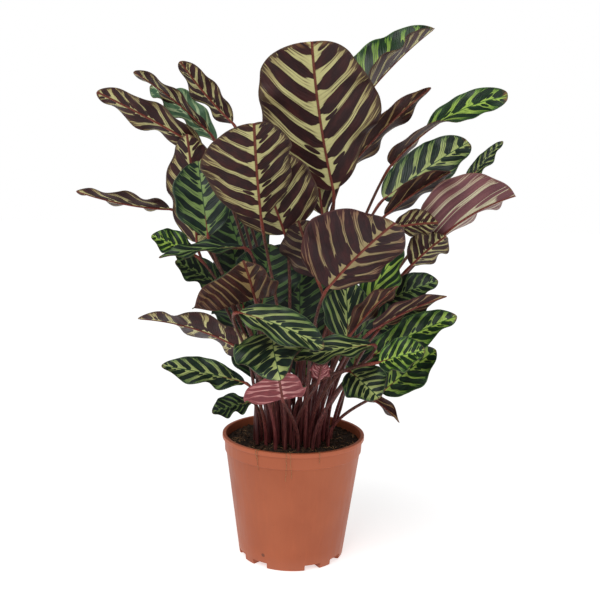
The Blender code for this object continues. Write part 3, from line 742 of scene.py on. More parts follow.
class Paint:
    """A material and the nodes that paint it."""

    def __init__(self, name, roughness, **fixed):
        self.material = bpy.data.materials.new(name)
        self.material.use_nodes = True
        self.tree = self.material.node_tree
        self.shader = self.tree.nodes["Principled BSDF"]
        self.shader.inputs["Roughness"].default_value = roughness
        for socket, value in fixed.items():
            self.shader.inputs[socket.replace("_", " ")].default_value = value

    def add(self, kind, settings=None, inputs=None):
        """A node of a kind, with its settings made first and then its sockets' values or links."""
        node = self.tree.nodes.new(kind)
        for setting, value in (settings or {}).items():
            setattr(node, setting, value)
        for socket, value in (inputs or {}).items():
            self.feed(node.inputs[socket], value)
        return node

    def feed(self, socket, value):
        if isinstance(value, Field):
            value = value.socket
        if isinstance(value, bpy.types.NodeSocket):
            self.tree.links.new(value, socket)
        else:
            socket.default_value = value

    def set(self, socket, value):
        self.feed(self.shader.inputs[socket], value)

    def attribute(self, name):
        """The three values of an attribute of the mesh."""
        read = self.add("ShaderNodeAttribute", {"attribute_name": name})
        split = self.add("ShaderNodeSeparateXYZ", None, {0: read.outputs["Vector"]})
        return [Field(self, output) for output in split.outputs]

    def place(self):
        """Object coordinates, in metres, as three values."""
        read = self.add("ShaderNodeTexCoord")
        split = self.add("ShaderNodeSeparateXYZ", None, {0: read.outputs["Object"]})
        return [Field(self, output) for output in split.outputs]

    def vector(self, x, y, z=0.0):
        return self.add("ShaderNodeCombineXYZ", None, {0: x, 1: y, 2: z}).outputs[0]

    def noise(self, vector, scale=1.0, detail=2.0, rough=0.5):
        node = self.add(
            "ShaderNodeTexNoise",
            {"noise_dimensions": "3D"},
            {"Vector": vector, "Scale": scale, "Detail": detail, "Roughness": rough},
        )
        return Field(self, node.outputs[0])

    def chance(self, vector):
        """A number from 0 to 1 that is the same all over one cell."""
        node = self.add("ShaderNodeTexWhiteNoise", {"noise_dimensions": "3D"}, {"Vector": vector})
        return Field(self, node.outputs[0])

    def cells(self, vector, scale):
        """Distance from the nearest of many scattered points, and a number for each point."""
        node = self.add(
            "ShaderNodeTexVoronoi",
            {"voronoi_dimensions": "3D"},
            {"Vector": vector, "Scale": scale},
        )
        shade = self.add("ShaderNodeSeparateColor", None, {0: node.outputs["Color"]})
        return Field(self, node.outputs["Distance"]), Field(self, shade.outputs[0])

    def blend(self, share, first, second, kind="MIX"):
        """The first colour where share is 0 and the second where it is 1."""
        colours = [(*c, 1.0) if isinstance(c, tuple) else c for c in (first, second)]
        node = self.add(
            "ShaderNodeMix",
            {"data_type": "RGBA", "blend_type": kind, "clamp_factor": True},
            {0: share, 6: colours[0], 7: colours[1]},
        )
        return node.outputs[2]

    def bump(self, height, depth, normal=None):
        """Relief of a height from 0 to 1, as deep as depth in metres."""
        inputs = {"Strength": 1.0, "Distance": depth, "Height": height}
        if normal is not None:
            inputs["Normal"] = normal
        return self.add("ShaderNodeBump", None, inputs).outputs[0]


def blade_paint(name, tones, roughness, rib_width):
    """The feather marking: long and short ovals between pale bands that fray into the edge."""
    paint = Paint(name, roughness, Specular_IOR_Level=0.3)
    row, across, number = paint.attribute("vein")
    along, edge, off_rib = paint.attribute("blade")
    seed = (number + 0.5).floor()
    out = abs(edge)
    v = abs(across)
    right = across.above(0.0)

    streak = paint.noise(paint.vector(row * 9.0, v * 1.4, seed * 3.7), detail=3.0)
    drift = paint.noise(paint.vector(row * 0.8, v * 2.0, seed * 3.7 + 7.0), detail=1.0)
    x = row + right * 0.42 + (drift - 0.5) * 0.5
    cell = x.floor()
    f = x - cell - 0.5
    luck = paint.chance(paint.vector(cell, right, seed))
    body = v.ramp(0.0, 0.2, 0.4, 1.0) * out.ramp(0.6, 1.0, 1.0, 0.5)
    wide = body * (luck * 0.12 + tones.spread) + (streak - 0.5) * 0.16
    long_oval = (wide - abs(f)).ramp(-0.02, 0.02)

    edge_cell = (x + 0.5).floor()
    pick = paint.chance(paint.vector(edge_cell, right, seed + 100.0))
    g = (x - edge_cell) / 0.13
    h = (v - pick * 0.1 - 0.14) / (pick * 0.06 + 0.08)
    short_oval = (g * g + h * h).ramp(1.15, 0.85) * pick.above(0.45)

    fringe = out + (streak - 0.5) * 0.8 + along.ramp(0.9, 1.0, 0.0, 0.2)
    margin = fringe.ramp(0.83, 0.9)
    comb = abs((x * 7.0).fraction() - 0.5)
    thread = paint.noise(paint.vector(row * 9.0, v * 2.2, seed * 3.7 + 3.0), detail=2.0)
    hair = comb.ramp(0.3, 0.14) * v.ramp(0.04, 0.2) * thread.ramp(0.38, 0.55)
    rib = off_rib.ramp(rib_width, rib_width * 0.45)

    mottle = paint.noise(paint.vector(row * 2.0, v * 5.0, seed * 3.7 + 5.0), detail=2.0)
    fade = out.ramp(0.35, 0.95) * 0.8 + (mottle - 0.5) * 0.7
    pale = paint.blend(fade, linear(tones.pale), linear(tones.pale_edge))
    pale = paint.blend(streak.ramp(0.55, 0.75) * 0.5, pale, linear(tones.margin))
    oval = paint.blend(mottle.ramp(0.35, 0.75), linear(tones.oval), linear(tones.oval_glow))
    colour = paint.blend(hair * 0.8, pale, linear(tones.oval_glow))
    colour = paint.blend(margin, colour, linear(tones.margin))
    colour = paint.blend(long_oval.most(short_oval), colour, oval)
    # Painted highlight: a pale line along the very edge, as where the edge catches the light.
    colour = paint.blend(out.ramp(0.965, 0.99) * 0.7, colour, linear(tones.rim))
    colour = paint.blend(along.ramp(0.95, 0.985) * streak.ramp(0.4, 0.6), colour, linear(DRY))
    colour = paint.blend(rib, colour, linear(tones.rib))
    paint.set("Base Color", colour)

    quilt = abs(f) * 1.6 + comb * 0.5 + thread * 0.3
    paint.set("Normal", paint.bump(quilt, 0.0005))
    paint.set("Roughness", streak.ramp(0.3, 0.7, roughness - 0.05, roughness + 0.1))
    return paint.material


def stalk_paint():
    """Maroon stalks, pinker at the foot and browner at the knee, with fine long streaks, the pale
    ones partly painted highlight.
    """
    paint = Paint("stalk", 0.42, Specular_IOR_Level=0.3)
    share, _, number = paint.attribute("vein")
    seed = (number + 0.5).floor()
    x, y, z = paint.place()
    streak = paint.noise(paint.vector(x * 900.0, y * 900.0, z * 28.0), detail=2.0)
    tint = paint.chance(paint.vector(seed, seed, 0.0))
    low = paint.blend(tint, linear((108, 44, 46)), linear((74, 32, 34)))
    high = paint.blend(tint, linear((80, 50, 36)), linear((66, 34, 30)))
    rib = paint.blend(tint, linear((128, 56, 38)), linear((108, 42, 34)))
    colour = paint.blend(share.ramp(0.05, 0.6), low, high)
    colour = paint.blend(share.ramp(0.82, 0.95), colour, rib)
    colour = paint.blend(share.ramp(1.3, 2.0), colour, linear((108, 56, 38)))
    # Pale streaks along the stalk: partly the stalk's own streaking and partly painted highlight.
    colour = paint.blend(streak.ramp(0.42, 0.75) * 0.55, colour, linear((150, 88, 78)))
    colour = paint.blend(streak.ramp(0.5, 0.25) * 0.5, colour, linear((40, 18, 18)))
    paint.set("Base Color", colour)
    paint.set("Normal", paint.bump(streak, 0.0003))
    return paint.material


def pot_paint(settings):
    """Satin moulded plastic, with the band and the rim painted paler as painted highlight, faint
    flow marks, scuffs and one chip.
    """
    paint = Paint("pot_plastic", settings.roughness, Specular_IOR_Level=0.25)
    x, y, z = paint.place()
    here = paint.vector(x, y, z)
    cloud = paint.noise(here, 14.0, 3.0)
    grain = paint.noise(here, 1400.0, 2.0)
    flow = paint.noise(paint.vector(x * 260.0, y * 260.0, z * 8.0), detail=2.0)
    dust, speck = paint.cells(here, 260.0)
    band = z.ramp(0.1268, 0.1285)
    colour = paint.blend(cloud.ramp(0.3, 0.7), tuple(settings.colour), tuple(settings.colour_deep))
    colour = paint.blend(flow.ramp(0.45, 0.8) * 0.25, colour, tuple(settings.colour_flow_and_highlight))
    # Painted highlight: the band under the rim and the rim itself are painted paler, as where more
    # light falls on them.
    colour = paint.blend(band * 0.45, colour, tuple(settings.colour_flow_and_highlight))
    colour = paint.blend(z.ramp(0.1405, 0.1425) * 0.8, colour, tuple(settings.colour_flow_and_highlight))
    colour = paint.blend(z.ramp(0.02, 0.0) * 0.25, colour, linear((176, 112, 88)))
    scuff = dust.ramp(0.16, 0.08) * speck.above(0.93)
    colour = paint.blend(scuff * 0.5, colour, linear((96, 58, 44)))
    off = [value - at * MM for value, at in zip((x, y, z), CHIP_AT)]
    far = (off[0] * off[0] + off[1] * off[1] + off[2] * off[2]) / (MM * MM)
    chip = (far + (grain - 0.5) * 4.0).ramp(7.0, 3.0)
    colour = paint.blend(chip * 0.75, colour, linear((92, 56, 42)))
    paint.set("Base Color", colour)
    rough = settings.roughness
    paint.set("Roughness", flow.ramp(0.3, 0.7, rough - 0.06, rough + 0.08))
    relief = grain * 0.5 + flow * 0.5
    paint.set("Normal", paint.bump(relief, 0.00012))
    return paint.material


def soil_paint(name, dark, light, fleck, scale):
    """Crumbly matter: dark and light grains, with flecks of a paler tone."""
    paint = Paint(name, 0.92, Specular_IOR_Level=0.25)
    x, y, z = paint.place()
    here = paint.vector(x, y, z)
    grain = paint.noise(here, scale, 5.0, 0.7)
    clump, shade = paint.cells(here, scale * 1.6)
    colour = paint.blend(grain.ramp(0.35, 0.7), linear(dark), linear(light))
    colour = paint.blend(shade.above(0.86) * clump.ramp(0.5, 0.2), colour, linear(fleck))
    paint.set("Base Color", colour)
    paint.set("Normal", paint.bump(grain + clump * 0.6, 0.0012))
    return paint.material


def plain_paint(name, tone, deep, roughness, scale=600.0):
    """One colour that varies a little from place to place."""
    paint = Paint(name, roughness, Specular_IOR_Level=0.3)
    x, y, z = paint.place()
    cloud = paint.noise(paint.vector(x, y, z), scale, 3.0)
    paint.set("Base Color", paint.blend(cloud.ramp(0.3, 0.7), linear(tone), linear(deep)))
    paint.set("Normal", paint.bump(cloud, 0.0002))
    return paint.material


def mesh_from(bm, name):
    made = bpy.data.meshes.new(name)
    bm.to_mesh(made)
    bm.free()
    return made


def new_piece(name, mesh, slot, *nodes):
    """A shown piece that rides with the pot and stands for solids. Its slot is not used."""
    made = bpy.data.objects.new(name, mesh)
    bpy.context.scene.collection.objects.link(made)
    mesh.shade_smooth()
    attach(made, "root")
    if nodes:
        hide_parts(*nodes)
    return made


def profile_chain(bm, profile):
    """A chain of edges through (radius, height) points, in the plane of X and Z."""
    verts = [bm.verts.new((r * MM, 0.0, z * MM)) for r, z in profile]
    for a, b in zip(verts, verts[1:]):
        bm.edges.new((a, b))


def spin_round(bm, steps):
    """The whole turn of a chain about the pot's axis, closed and facing outwards."""
    bmesh.ops.spin(
        bm,
        geom=[*bm.verts, *bm.edges],
        cent=(0, 0, 0),
        axis=(0, 0, 1),
        angle=2 * math.pi,
        steps=steps,
        use_merge=True,
    )
    bmesh.ops.remove_doubles(bm, verts=bm.verts, dist=MERGE)
    bmesh.ops.recalc_face_normals(bm, faces=bm.faces)


def rounded(a, b, c, radius, steps=4):
    """Points of an arc that rounds the corner b between a and c."""
    corner = Vector(b)
    to_a = (Vector(a) - corner).normalized() * radius
    to_c = (Vector(c) - corner).normalized() * radius
    points = []
    for k in range(steps + 1):
        u = k / steps
        points.append(tuple(corner + to_a * (1 - u) ** 2 + to_c * u**2))
    return points


def wall_radius(height):
    """The outer radius of the pot's tapering wall, below the band under the rim."""
    step_foot = POT_HEIGHT - BAND_DEPTH - STEP_IN / 2
    share = (height - BASE_EDGE) / (step_foot - BASE_EDGE)
    return BASE_RADIUS + (BAND_FOOT_RADIUS - STEP_IN - BASE_RADIUS) * share


def pot_corners():
    """The wall's section as (radius, height, rounding): up the inside and down the outside."""
    step_top = POT_HEIGHT - BAND_DEPTH
    step_foot = step_top - STEP_IN / 2
    neck = BAND_FOOT_RADIUS - STEP_IN
    return (
        (0.0, FLOOR, 0.0),
        (FLAT_RADIUS, FLOOR, 0.5),
        (FLAT_RADIUS + RAMP, RING_TOP, 0.5),
        (wall_radius(RING_TOP) - WALL, RING_TOP, 0.5),
        (neck - WALL, step_foot, 0.5),
        (BAND_FOOT_RADIUS - WALL, step_foot + STEP_IN, 0.5),
        (MOUTH_RADIUS, POT_HEIGHT, RIM_EDGE),
        (RIM_RADIUS, POT_HEIGHT, RIM_EDGE),
        (RIM_RADIUS, POT_HEIGHT - RIM_DEPTH, RIM_EDGE),
        (BAND_TOP_RADIUS, POT_HEIGHT - RIM_DEPTH - 0.4, 0.4),
        (BAND_FOOT_RADIUS, step_top, 0.4),
        (neck, step_foot, 0.4),
        (BASE_RADIUS, BASE_EDGE / 2, 0.8),
        (BASE_RADIUS - BASE_EDGE, 0.0, 0.6),
        (0.0, 0.0, 0.0),
    )


def pot_profile():
    corners = pot_corners()
    points = [corners[0][:2]]
    for before, here, after in zip(corners, corners[1:], corners[2:]):
        points += rounded(before[:2], here[:2], after[:2], here[2])
    return [*points, corners[-1][:2]]


def add_sector(bm, inner, outer, start, sweep):
    """A ring sector under the pot, from the ground up to the hollows' top."""
    heading = Matrix.Rotation(math.radians(start - 90.0), 3, "Z")
    corners = ((inner, -CUT_BELOW), (outer, -CUT_BELOW), (outer, HOLLOW_TOP), (inner, HOLLOW_TOP))
    verts = [bm.verts.new((r * MM, 0.0, z * MM)) for r, z in corners]
    bmesh.ops.rotate(bm, verts=verts, cent=(0, 0, 0), matrix=heading)
    section = bm.faces.new(verts)
    bmesh.ops.spin(
        bm,
        geom=[section, *section.edges, *verts],
        cent=(0, 0, 0),
        axis=(0, 0, 1),
        angle=math.radians(sweep),
        steps=math.ceil(sweep / CUT_STEP),
    )


def hollow_cutter():
    """Eight notches through the wall, in pairs, and a closed hollow between each two."""
    bm = bmesh.new()
    for quarter in range(4):
        diagonal = FIRST_DIAGONAL + 90.0 * quarter
        low = diagonal - NOTCH_OFF_DIAGONAL
        high = diagonal + NOTCH_OFF_DIAGONAL
        for middle in (low, high):
            add_sector(bm, HOLLOW_INNER, NOTCH_REACH, middle - NOTCH_HALF, 2 * NOTCH_HALF)
        for left, right in ((low, high), (high, low + 90.0)):
            start = left + NOTCH_HALF + RIB_ANGLE
            add_sector(bm, HOLLOW_INNER, HOLLOW_OUTER, start, right - NOTCH_HALF - RIB_ANGLE - start)
    bmesh.ops.recalc_face_normals(bm, faces=bm.faces)
    made = bpy.data.objects.new("hollow_cutter", mesh_from(bm, "hollow_cutter"))
    bpy.context.scene.collection.objects.link(made)
    return made


def apply_modifiers(obj):
    """The object's mesh with its modifiers made real."""
    view = bpy.context.evaluated_depsgraph_get()
    mesh = bpy.data.meshes.new_from_object(obj.evaluated_get(view))
    obj.modifiers.clear()
    obj.data = mesh
    return mesh


def make_pot(settings):
    bm = bmesh.new()
    profile_chain(bm, pot_profile())
    spin_round(bm, POT_STEPS)
    pot = new_piece("moulded_pot", mesh_from(bm, "moulded_pot"), "pot", "pot")
    cutter = hollow_cutter()
    cut = pot.modifiers.new("cut", "BOOLEAN")
    cut.operation = "DIFFERENCE"
    cut.solver = "EXACT"
    cut.object = cutter
    mesh = apply_modifiers(pot)
    bpy.data.objects.remove(cutter)
    mesh.set_sharp_from_angle(angle=math.radians(40))
    mesh.materials.append(pot_paint(settings))
    return pot


def crumble(x, y):
    """How far the soil's top rises at a place: low mounds, then crumbs of several sizes."""
    waves = math.sin(x / 9.0 + 1.3) * math.cos(y / 11.0) + 0.6 * math.sin((x + 2 * y) / 17.0)
    spot = Vector((x / CRUMB_SIZE, y / CRUMB_SIZE, 0.0))
    crumbs = noise.noise(spot) + 0.6 * abs(noise.noise(spot * 2.3)) + 0.4 * noise.noise(spot * 5.1)
    return SOIL_BUMP * waves / 1.6 + CRUMB_HEIGHT * crumbs


def soil_profile():
    """The soil's section, a small gap inside the pot's own, up to its top in the middle."""
    step_foot = POT_HEIGHT - BAND_DEPTH - STEP_IN / 2
    neck = BAND_FOOT_RADIUS - STEP_IN - WALL - GAP
    edge = BAND_FOOT_RADIUS - WALL - GAP
    rings = [(edge * k / SOIL_RINGS, SOIL_TOP) for k in range(SOIL_RINGS - 1, 0, -1)]
    return (
        (0.0, FLOOR + GAP),
        (FLAT_RADIUS - GAP, FLOOR + GAP),
        (FLAT_RADIUS + RAMP - GAP, RING_TOP + GAP),
        (wall_radius(RING_TOP) - WALL - GAP, RING_TOP + GAP),
        (neck, step_foot + GAP / 2),
        (edge, step_foot + STEP_IN + GAP / 2),
        (edge, SOIL_TOP - SOIL_EDGE_DROP),
        *rings,
        (0.0, SOIL_TOP),
    )


def make_soil():
    bm = bmesh.new()
    profile_chain(bm, soil_profile())
    spin_round(bm, SOIL_STEPS)
    for vert in bm.verts:
        if vert.co.z > (SOIL_TOP - GAP) * MM:
            vert.co.z += crumble(vert.co.x / MM, vert.co.y / MM) * MM
    mesh = mesh_from(bm, "potting_soil")
    mesh.materials.append(soil_paint("soil", (30, 22, 17), (66, 50, 38), (104, 82, 60), 320.0))
    return new_piece("potting_soil", mesh, "soil", "soil")


def soil_spot(draw, least, most):
    """A chance place on the soil between two distances from its middle, and its height."""
    radius = math.sqrt(draw.uniform(least**2, most**2))
    angle = draw.uniform(0, 2 * math.pi)
    x, y = radius * math.cos(angle), radius * math.sin(angle)
    return Vector((x, y, SOIL_TOP + crumble(x, y)))


def add_chip(bm, spot, size, draw):
    """A chip of bark: a block with its corners moved and its edges bevelled."""
    made = bmesh.ops.create_cube(bm, size=1.0)["verts"]
    shape = (size, size * draw.uniform(0.35, 0.7), size * draw.uniform(0.12, 0.3))
    bmesh.ops.scale(bm, verts=made, vec=shape)
    for vert in made:
        vert.co += Vector([draw.uniform(-0.16, 0.16) * size for _ in range(3)])
    turn = Matrix.Rotation(draw.uniform(0, 2 * math.pi), 3, "Z")
    tip = Matrix.Rotation(draw.uniform(-0.5, 0.5), 3, "X")
    roll = Matrix.Rotation(draw.uniform(-0.5, 0.5), 3, "Y")
    bmesh.ops.rotate(bm, verts=made, cent=(0, 0, 0), matrix=turn @ tip @ roll)
    bmesh.ops.translate(bm, verts=made, vec=spot)
    edges = list({edge for vert in made for edge in vert.link_edges})
    bmesh.ops.bevel(
        bm,
        geom=edges,
        offset=size * 0.07,
        affect="EDGES",
        segments=1,
        profile=0.5,
        material=-1,
    )


def make_bark(settings):
    """Chips of bark scattered on the soil."""
    draw = random.Random(settings.seed)
    bm = bmesh.new()
    for _ in range(settings.chips):
        add_chip(bm, soil_spot(draw, 20.0, 76.0), draw.uniform(2.2, 7.5), draw)
    bmesh.ops.scale(bm, verts=bm.verts, vec=(MM, MM, MM))
    bmesh.ops.recalc_face_normals(bm, faces=bm.faces)
    mesh = mesh_from(bm, "bark_chips")
    mesh.materials.append(soil_paint("bark", (44, 30, 22), (92, 66, 48), (128, 98, 70), 500.0))
    piece = new_piece("bark_chips", mesh, "soil")
    mesh.shade_flat()
    return piece


def add_tube(bm, points, along, radii, side, sides):
    """A round tube along points, left open at its seam and both ends. Gives its vertices and their
    rings.
    """
    count = len(points)
    made = bmesh.ops.create_grid(bm, x_segments=count - 1, y_segments=sides, size=1.0)["verts"]
    places = np.array([vert.co for vert in made])
    ring = np.rint((places[:, 0] + 1) / 2 * (count - 1)).astype(int)
    angle = 2 * math.pi * np.rint((places[:, 1] + 1) / 2 * sides) / sides
    side = square_to(side, along)
    upper = np.cross(side, along)
    out = np.cos(angle)[:, None] * side[ring] + np.sin(angle)[:, None] * upper[ring]
    for vert, co in zip(made, points[ring] + radii[ring][:, None] * out):
        vert.co = co
    return made, ring


def close_tubes(bm, verts):
    """Joins each tube's seam and closes its ends."""
    bmesh.ops.remove_doubles(bm, verts=verts, dist=MERGE)
    bmesh.ops.holes_fill(bm, edges=[edge for edge in bm.edges if edge.is_boundary], sides=0)


def thread_points(start, heading, length, draw, steps=14):
    """Points of a thin root that wanders as it runs, and the way it runs at each."""
    points = [np.array(start, float)]
    way = np.array(heading, float)
    for _ in range(steps):
        way = unit(way + np.array([draw.uniform(-0.5, 0.5) for _ in range(3)]) * 0.8)
        points.append(points[-1] + way * length / steps)
    points = np.array(points)
    return points, unit(np.gradient(points, axis=0))


def soil_threads(settings, draw):
    """Thin roots that lie on the soil."""
    for _ in range(settings.threads):
        start = soil_spot(draw, 25.0, 74.0)
        angle = draw.uniform(0, 2 * math.pi)
        heading = (math.cos(angle), math.sin(angle), 0.0)
        points, _ = thread_points(start, heading, draw.uniform(8.0, 22.0), draw)
        for point in points:
            reach = math.hypot(point[0], point[1])
            point[:2] *= min(1.0, 77.0 / reach)
            point[2] = SOIL_TOP + crumble(point[0], point[1]) + 0.35
        yield points


RIM_THREADS = ((-26.0, 24.0), (-2.0, 30.0), (-4.5, 34.0), (20.5, 13.0), (-28.0, 12.0))


def rim_threads(draw):
    """Thin roots that hang over the front of the rim: (degrees from the front, length)."""
    for heading, length in RIM_THREADS:
        angle = math.radians(heading - 90.0)
        points = []
        for radius, height in (
            (72.0, SOIL_TOP + 1.5),
            (78.0, SOIL_TOP + 4.0),
            (80.5, POT_HEIGHT - 1.0),
            (82.5, POT_HEIGHT + 0.5),
            (85.2, POT_HEIGHT + 0.2),
            (85.8, POT_HEIGHT - 3.0),
            (85.2, POT_HEIGHT - 7.0),
        ):
            points.append((radius, height))
        steps = 6
        for k in range(1, steps + 1):
            height = POT_HEIGHT - 7.0 - (length - 7.0) * k / steps
            radius = max(wall_radius(height) if height < 126 else BAND_TOP_RADIUS, 0.0) + 0.5
            points.append((radius, height))
        wander = 0.0
        placed = []
        for radius, height in points:
            wander += draw.uniform(-0.9, 0.9) / radius
            turn = angle + wander
            placed.append((radius * math.cos(turn), radius * math.sin(turn), height))
        yield np.array(placed)


def make_threads(settings):
    """Pale thin roots on the soil and over the rim."""
    draw = random.Random(settings.seed + 1)
    bm = bmesh.new()
    verts = []
    for points in (*soil_threads(settings, draw), *rim_threads(draw)):
        along = unit(np.gradient(points, axis=0))
        radii = np.linspace(0.32, 0.16, len(points))
        side = np.cross(along, UP) + np.array((1e-3, 0.0, 0.0))
        verts += add_tube(bm, points * MM, along, radii * MM, side, 5)[0]
    close_tubes(bm, verts)
    bmesh.ops.recalc_face_normals(bm, faces=bm.faces)
    mesh = mesh_from(bm, "thin_roots")
    mesh.materials.append(plain_paint("thin_roots", (186, 150, 104), (128, 92, 60), 0.7))
    return new_piece("thin_roots", mesh, "soil")


def leaf_number(leaf):
    return int(leaf.name[-2:])


def crowded(u):
    """Shares from 0 to 1 that lie closer together at both ends."""
    return u - CROWD_ENDS * np.sin(2 * math.pi * u) / (2 * math.pi)


def vein_row(leaf, t, s, length, settings):
    """Which vein runs through a point, counted along the midrib, and how far out the point is."""
    widest = leaf.width / 2
    out = half_width(leaf, t, s) * np.abs(s) / widest
    lean = settings.vein_lean + settings.slim_lean * length / leaf.width
    lean, ovals = VEINS_OF.get(leaf.name, (lean, settings.ovals))
    return (t - lean * widest / length * out**1.25) * ovals, np.sign(s) * out


def surface(form, t, s, settings):
    """The blade's middle surface with the small ruffles of its edge."""
    out = np.abs(s)
    points = blade_points(form, t, s)
    normals = blade_normals(form, t, s)
    number = leaf_number(form.leaf)
    waves = form.length / (settings.ruffle_length / MM)
    turns = 2 * math.pi * (waves * t + 0.37 * number) + 2.3 * (s > 0)
    ends = np.sqrt(np.sin(math.pi * t.clip(0, 1)).clip(0))
    depth = settings.ruffle_depth / MM * min(form.leaf.width / 60.0, 1.2)
    ruffle = depth * out**2.5 * ends * np.sin(turns) * (0.7 + 0.3 * np.sin(0.4 * turns + number))
    return points + normals * ruffle[:, None], normals


def write_layers(bm, verts, vein, blade):
    vein_layer = bm.verts.layers.float_vector["vein"]
    blade_layer = bm.verts.layers.float_vector["blade"]
    for vert, a, b in zip(verts, vein, blade):
        vert[vein_layer] = a
        vert[blade_layer] = b


def add_blade(bm, form, settings):
    """The blade: a grid bent to its form, given its lower side and a closed edge."""
    made = bmesh.ops.create_grid(
        bm, x_segments=FINE_ALONG, y_segments=FINE_ACROSS, size=1.0
    )["verts"]
    faces = list({face for vert in made for face in vert.link_faces})
    places = np.array([vert.co for vert in made])
    leaf = form.leaf
    t = crowded((places[:, 0] + 1) / 2)
    s = places[:, 1]
    extruded = bmesh.ops.extrude_face_region(bm, geom=faces, use_keep_orig=True)["geom"]
    upper = [item for item in extruded if isinstance(item, bmesh.types.BMVert)]
    upper_faces = [item for item in extruded if isinstance(item, bmesh.types.BMFace)]
    order = {(round(v.co.x, 5), round(v.co.y, 5)): v for v in upper}
    above = [order[round(v.co.x, 5), round(v.co.y, 5)] for v in made]
    points, normals = surface(form, t, s, settings)
    half = FINE_HALF_MIDDLE + (FINE_HALF_EDGE - FINE_HALF_MIDDLE) * np.abs(s)
    row, out = vein_row(leaf, t, s, form.length, settings)
    number = leaf_number(leaf)
    vein = np.stack((row + 3.0 * number, out, np.full(len(row), number)), axis=1)
    off_rib = np.abs(out) * leaf.width / 2
    blade = np.stack((t, s, off_rib), axis=1)
    for verts, sign in ((above, 1.0), (made, -1.0)):
        places = (points + sign * normals * half[:, None]) * MM
        for vert, co in zip(verts, places):
            vert.co = co
        write_layers(bm, verts, vein, blade)
    top = set(upper_faces)
    for face in bm.faces:
        face.material_index = 0 if face in top else 1


def add_stalk(bm, place):
    """The stalk, from the soil to the knee, going on under the blade as its midrib."""
    form, root, bow = place
    u = np.linspace(0.0, 1.0, STALK_STEPS)
    points, along = curve_at(stalk_path(form, root, bow), u)
    swell = KNEE_SWELL * np.sin(math.pi * ((u - KNEE_FROM) / (1 - KNEE_FROM)).clip(0, 1)) ** 2
    radii = (ROOT_RADIUS + (NECK_RADIUS - ROOT_RADIUS) * u) * (1 + swell)
    buried = np.array(((root[0], root[1], SOIL_TOP - HOLE_DEPTH + GAP),))
    t = np.linspace(0.0, 0.985, RIB_STEPS + 1)[1:]
    rib, rib_along = midrib(form, t)
    down = -blade_normals(form, t, np.zeros(len(t)))
    rib_radii = MIDRIB_BASE + (0.28 - MIDRIB_BASE) * t
    rib = rib + down * ((FINE_HALF_MIDDLE + 0.25 * rib_radii) * (t / 0.06).clip(0, 1))[:, None]
    points = np.concatenate((buried, points, rib))
    along = np.concatenate((UP[None, :], along, rib_along))
    radii = np.concatenate(((ROOT_RADIUS,), radii, rib_radii))
    share = np.concatenate(((0.0,), u, 1.0 + t))
    made, ring = add_tube(bm, points * MM, along, radii * MM, form.side[None, :], TUBE_SIDES)
    number = np.full(len(ring), leaf_number(form.leaf))
    vein = np.stack((share[ring], np.zeros(len(ring)), number), axis=1)
    write_layers(bm, made, vein, vein)
    faces = {face for vert in made for face in vert.link_faces}
    for face in faces:
        face.material_index = 2
    before = set(bm.faces)
    close_tubes(bm, made)
    for face in set(bm.faces) - before:
        face.material_index = 2


def make_leaf(place, settings, paints):
    name = place.form.leaf.name
    bm = bmesh.new()
    bm.verts.layers.float_vector.new("vein")
    bm.verts.layers.float_vector.new("blade")
    add_blade(bm, place.form, settings)
    add_stalk(bm, place)
    bmesh.ops.recalc_face_normals(bm, faces=bm.faces)
    mesh = mesh_from(bm, f"fine_{name}")
    upper, lower = TONES_OF.get(name, (UPPER, LOWER))
    for paint in (paints[upper], paints[lower], paints["stalk"]):
        mesh.materials.append(paint)
    return new_piece(f"fine_{name}", mesh, "leaf", name)


def leaf_paints():
    """The leaves' materials, by their tones."""
    paints = {
        UPPER: blade_paint("leaf_upper", UPPER, 0.36, 0.7),
        UPPER_FRESH: blade_paint("leaf_upper_fresh", UPPER_FRESH, 0.34, 0.7),
        UPPER_PAINTED_SHADE: blade_paint("leaf_upper_painted_shade", UPPER_PAINTED_SHADE, 0.4, 0.7),
        UPPER_PAINTED_DEEP_SHADE: blade_paint("leaf_upper_painted_deep_shade", UPPER_PAINTED_DEEP_SHADE, 0.42, 0.7),
        UPPER_PALE: blade_paint("leaf_upper_pale", UPPER_PALE, 0.42, 0.7),
        LOWER: blade_paint("leaf_lower", LOWER, 0.48, 1.9),
        LOWER_RED: blade_paint("leaf_lower_red", LOWER_RED, 0.48, 1.9),
        LOWER_PAINTED_DEEP_SHADE: blade_paint("leaf_lower_painted_deep_shade", LOWER_PAINTED_DEEP_SHADE, 0.5, 1.9),
        LOWER_PINK: blade_paint("leaf_lower_pink", LOWER_PINK, 0.5, 1.9),
        LOWER_FADED: blade_paint("leaf_lower_faded", LOWER_FADED, 0.5, 1.9),
        LOWER_BROWN: blade_paint("leaf_lower_brown", LOWER_BROWN, 0.5, 1.9),
    }
    paints["stalk"] = stalk_paint()
    return paints


def add_light(name, place, aim, size, power, tone=(1.0, 1.0, 1.0)):
    """A soft square light at a place, turned to what it lights."""
    data = bpy.data.lights.new(name, "AREA")
    data.size = size
    data.energy = power
    data.color = tone
    lamp = bpy.data.objects.new(name, data)
    bpy.context.scene.collection.objects.link(lamp)
    lamp.location = place
    lamp.rotation_euler = (Vector(aim) - Vector(place)).to_track_quat("-Z", "Y").to_euler()
    return lamp


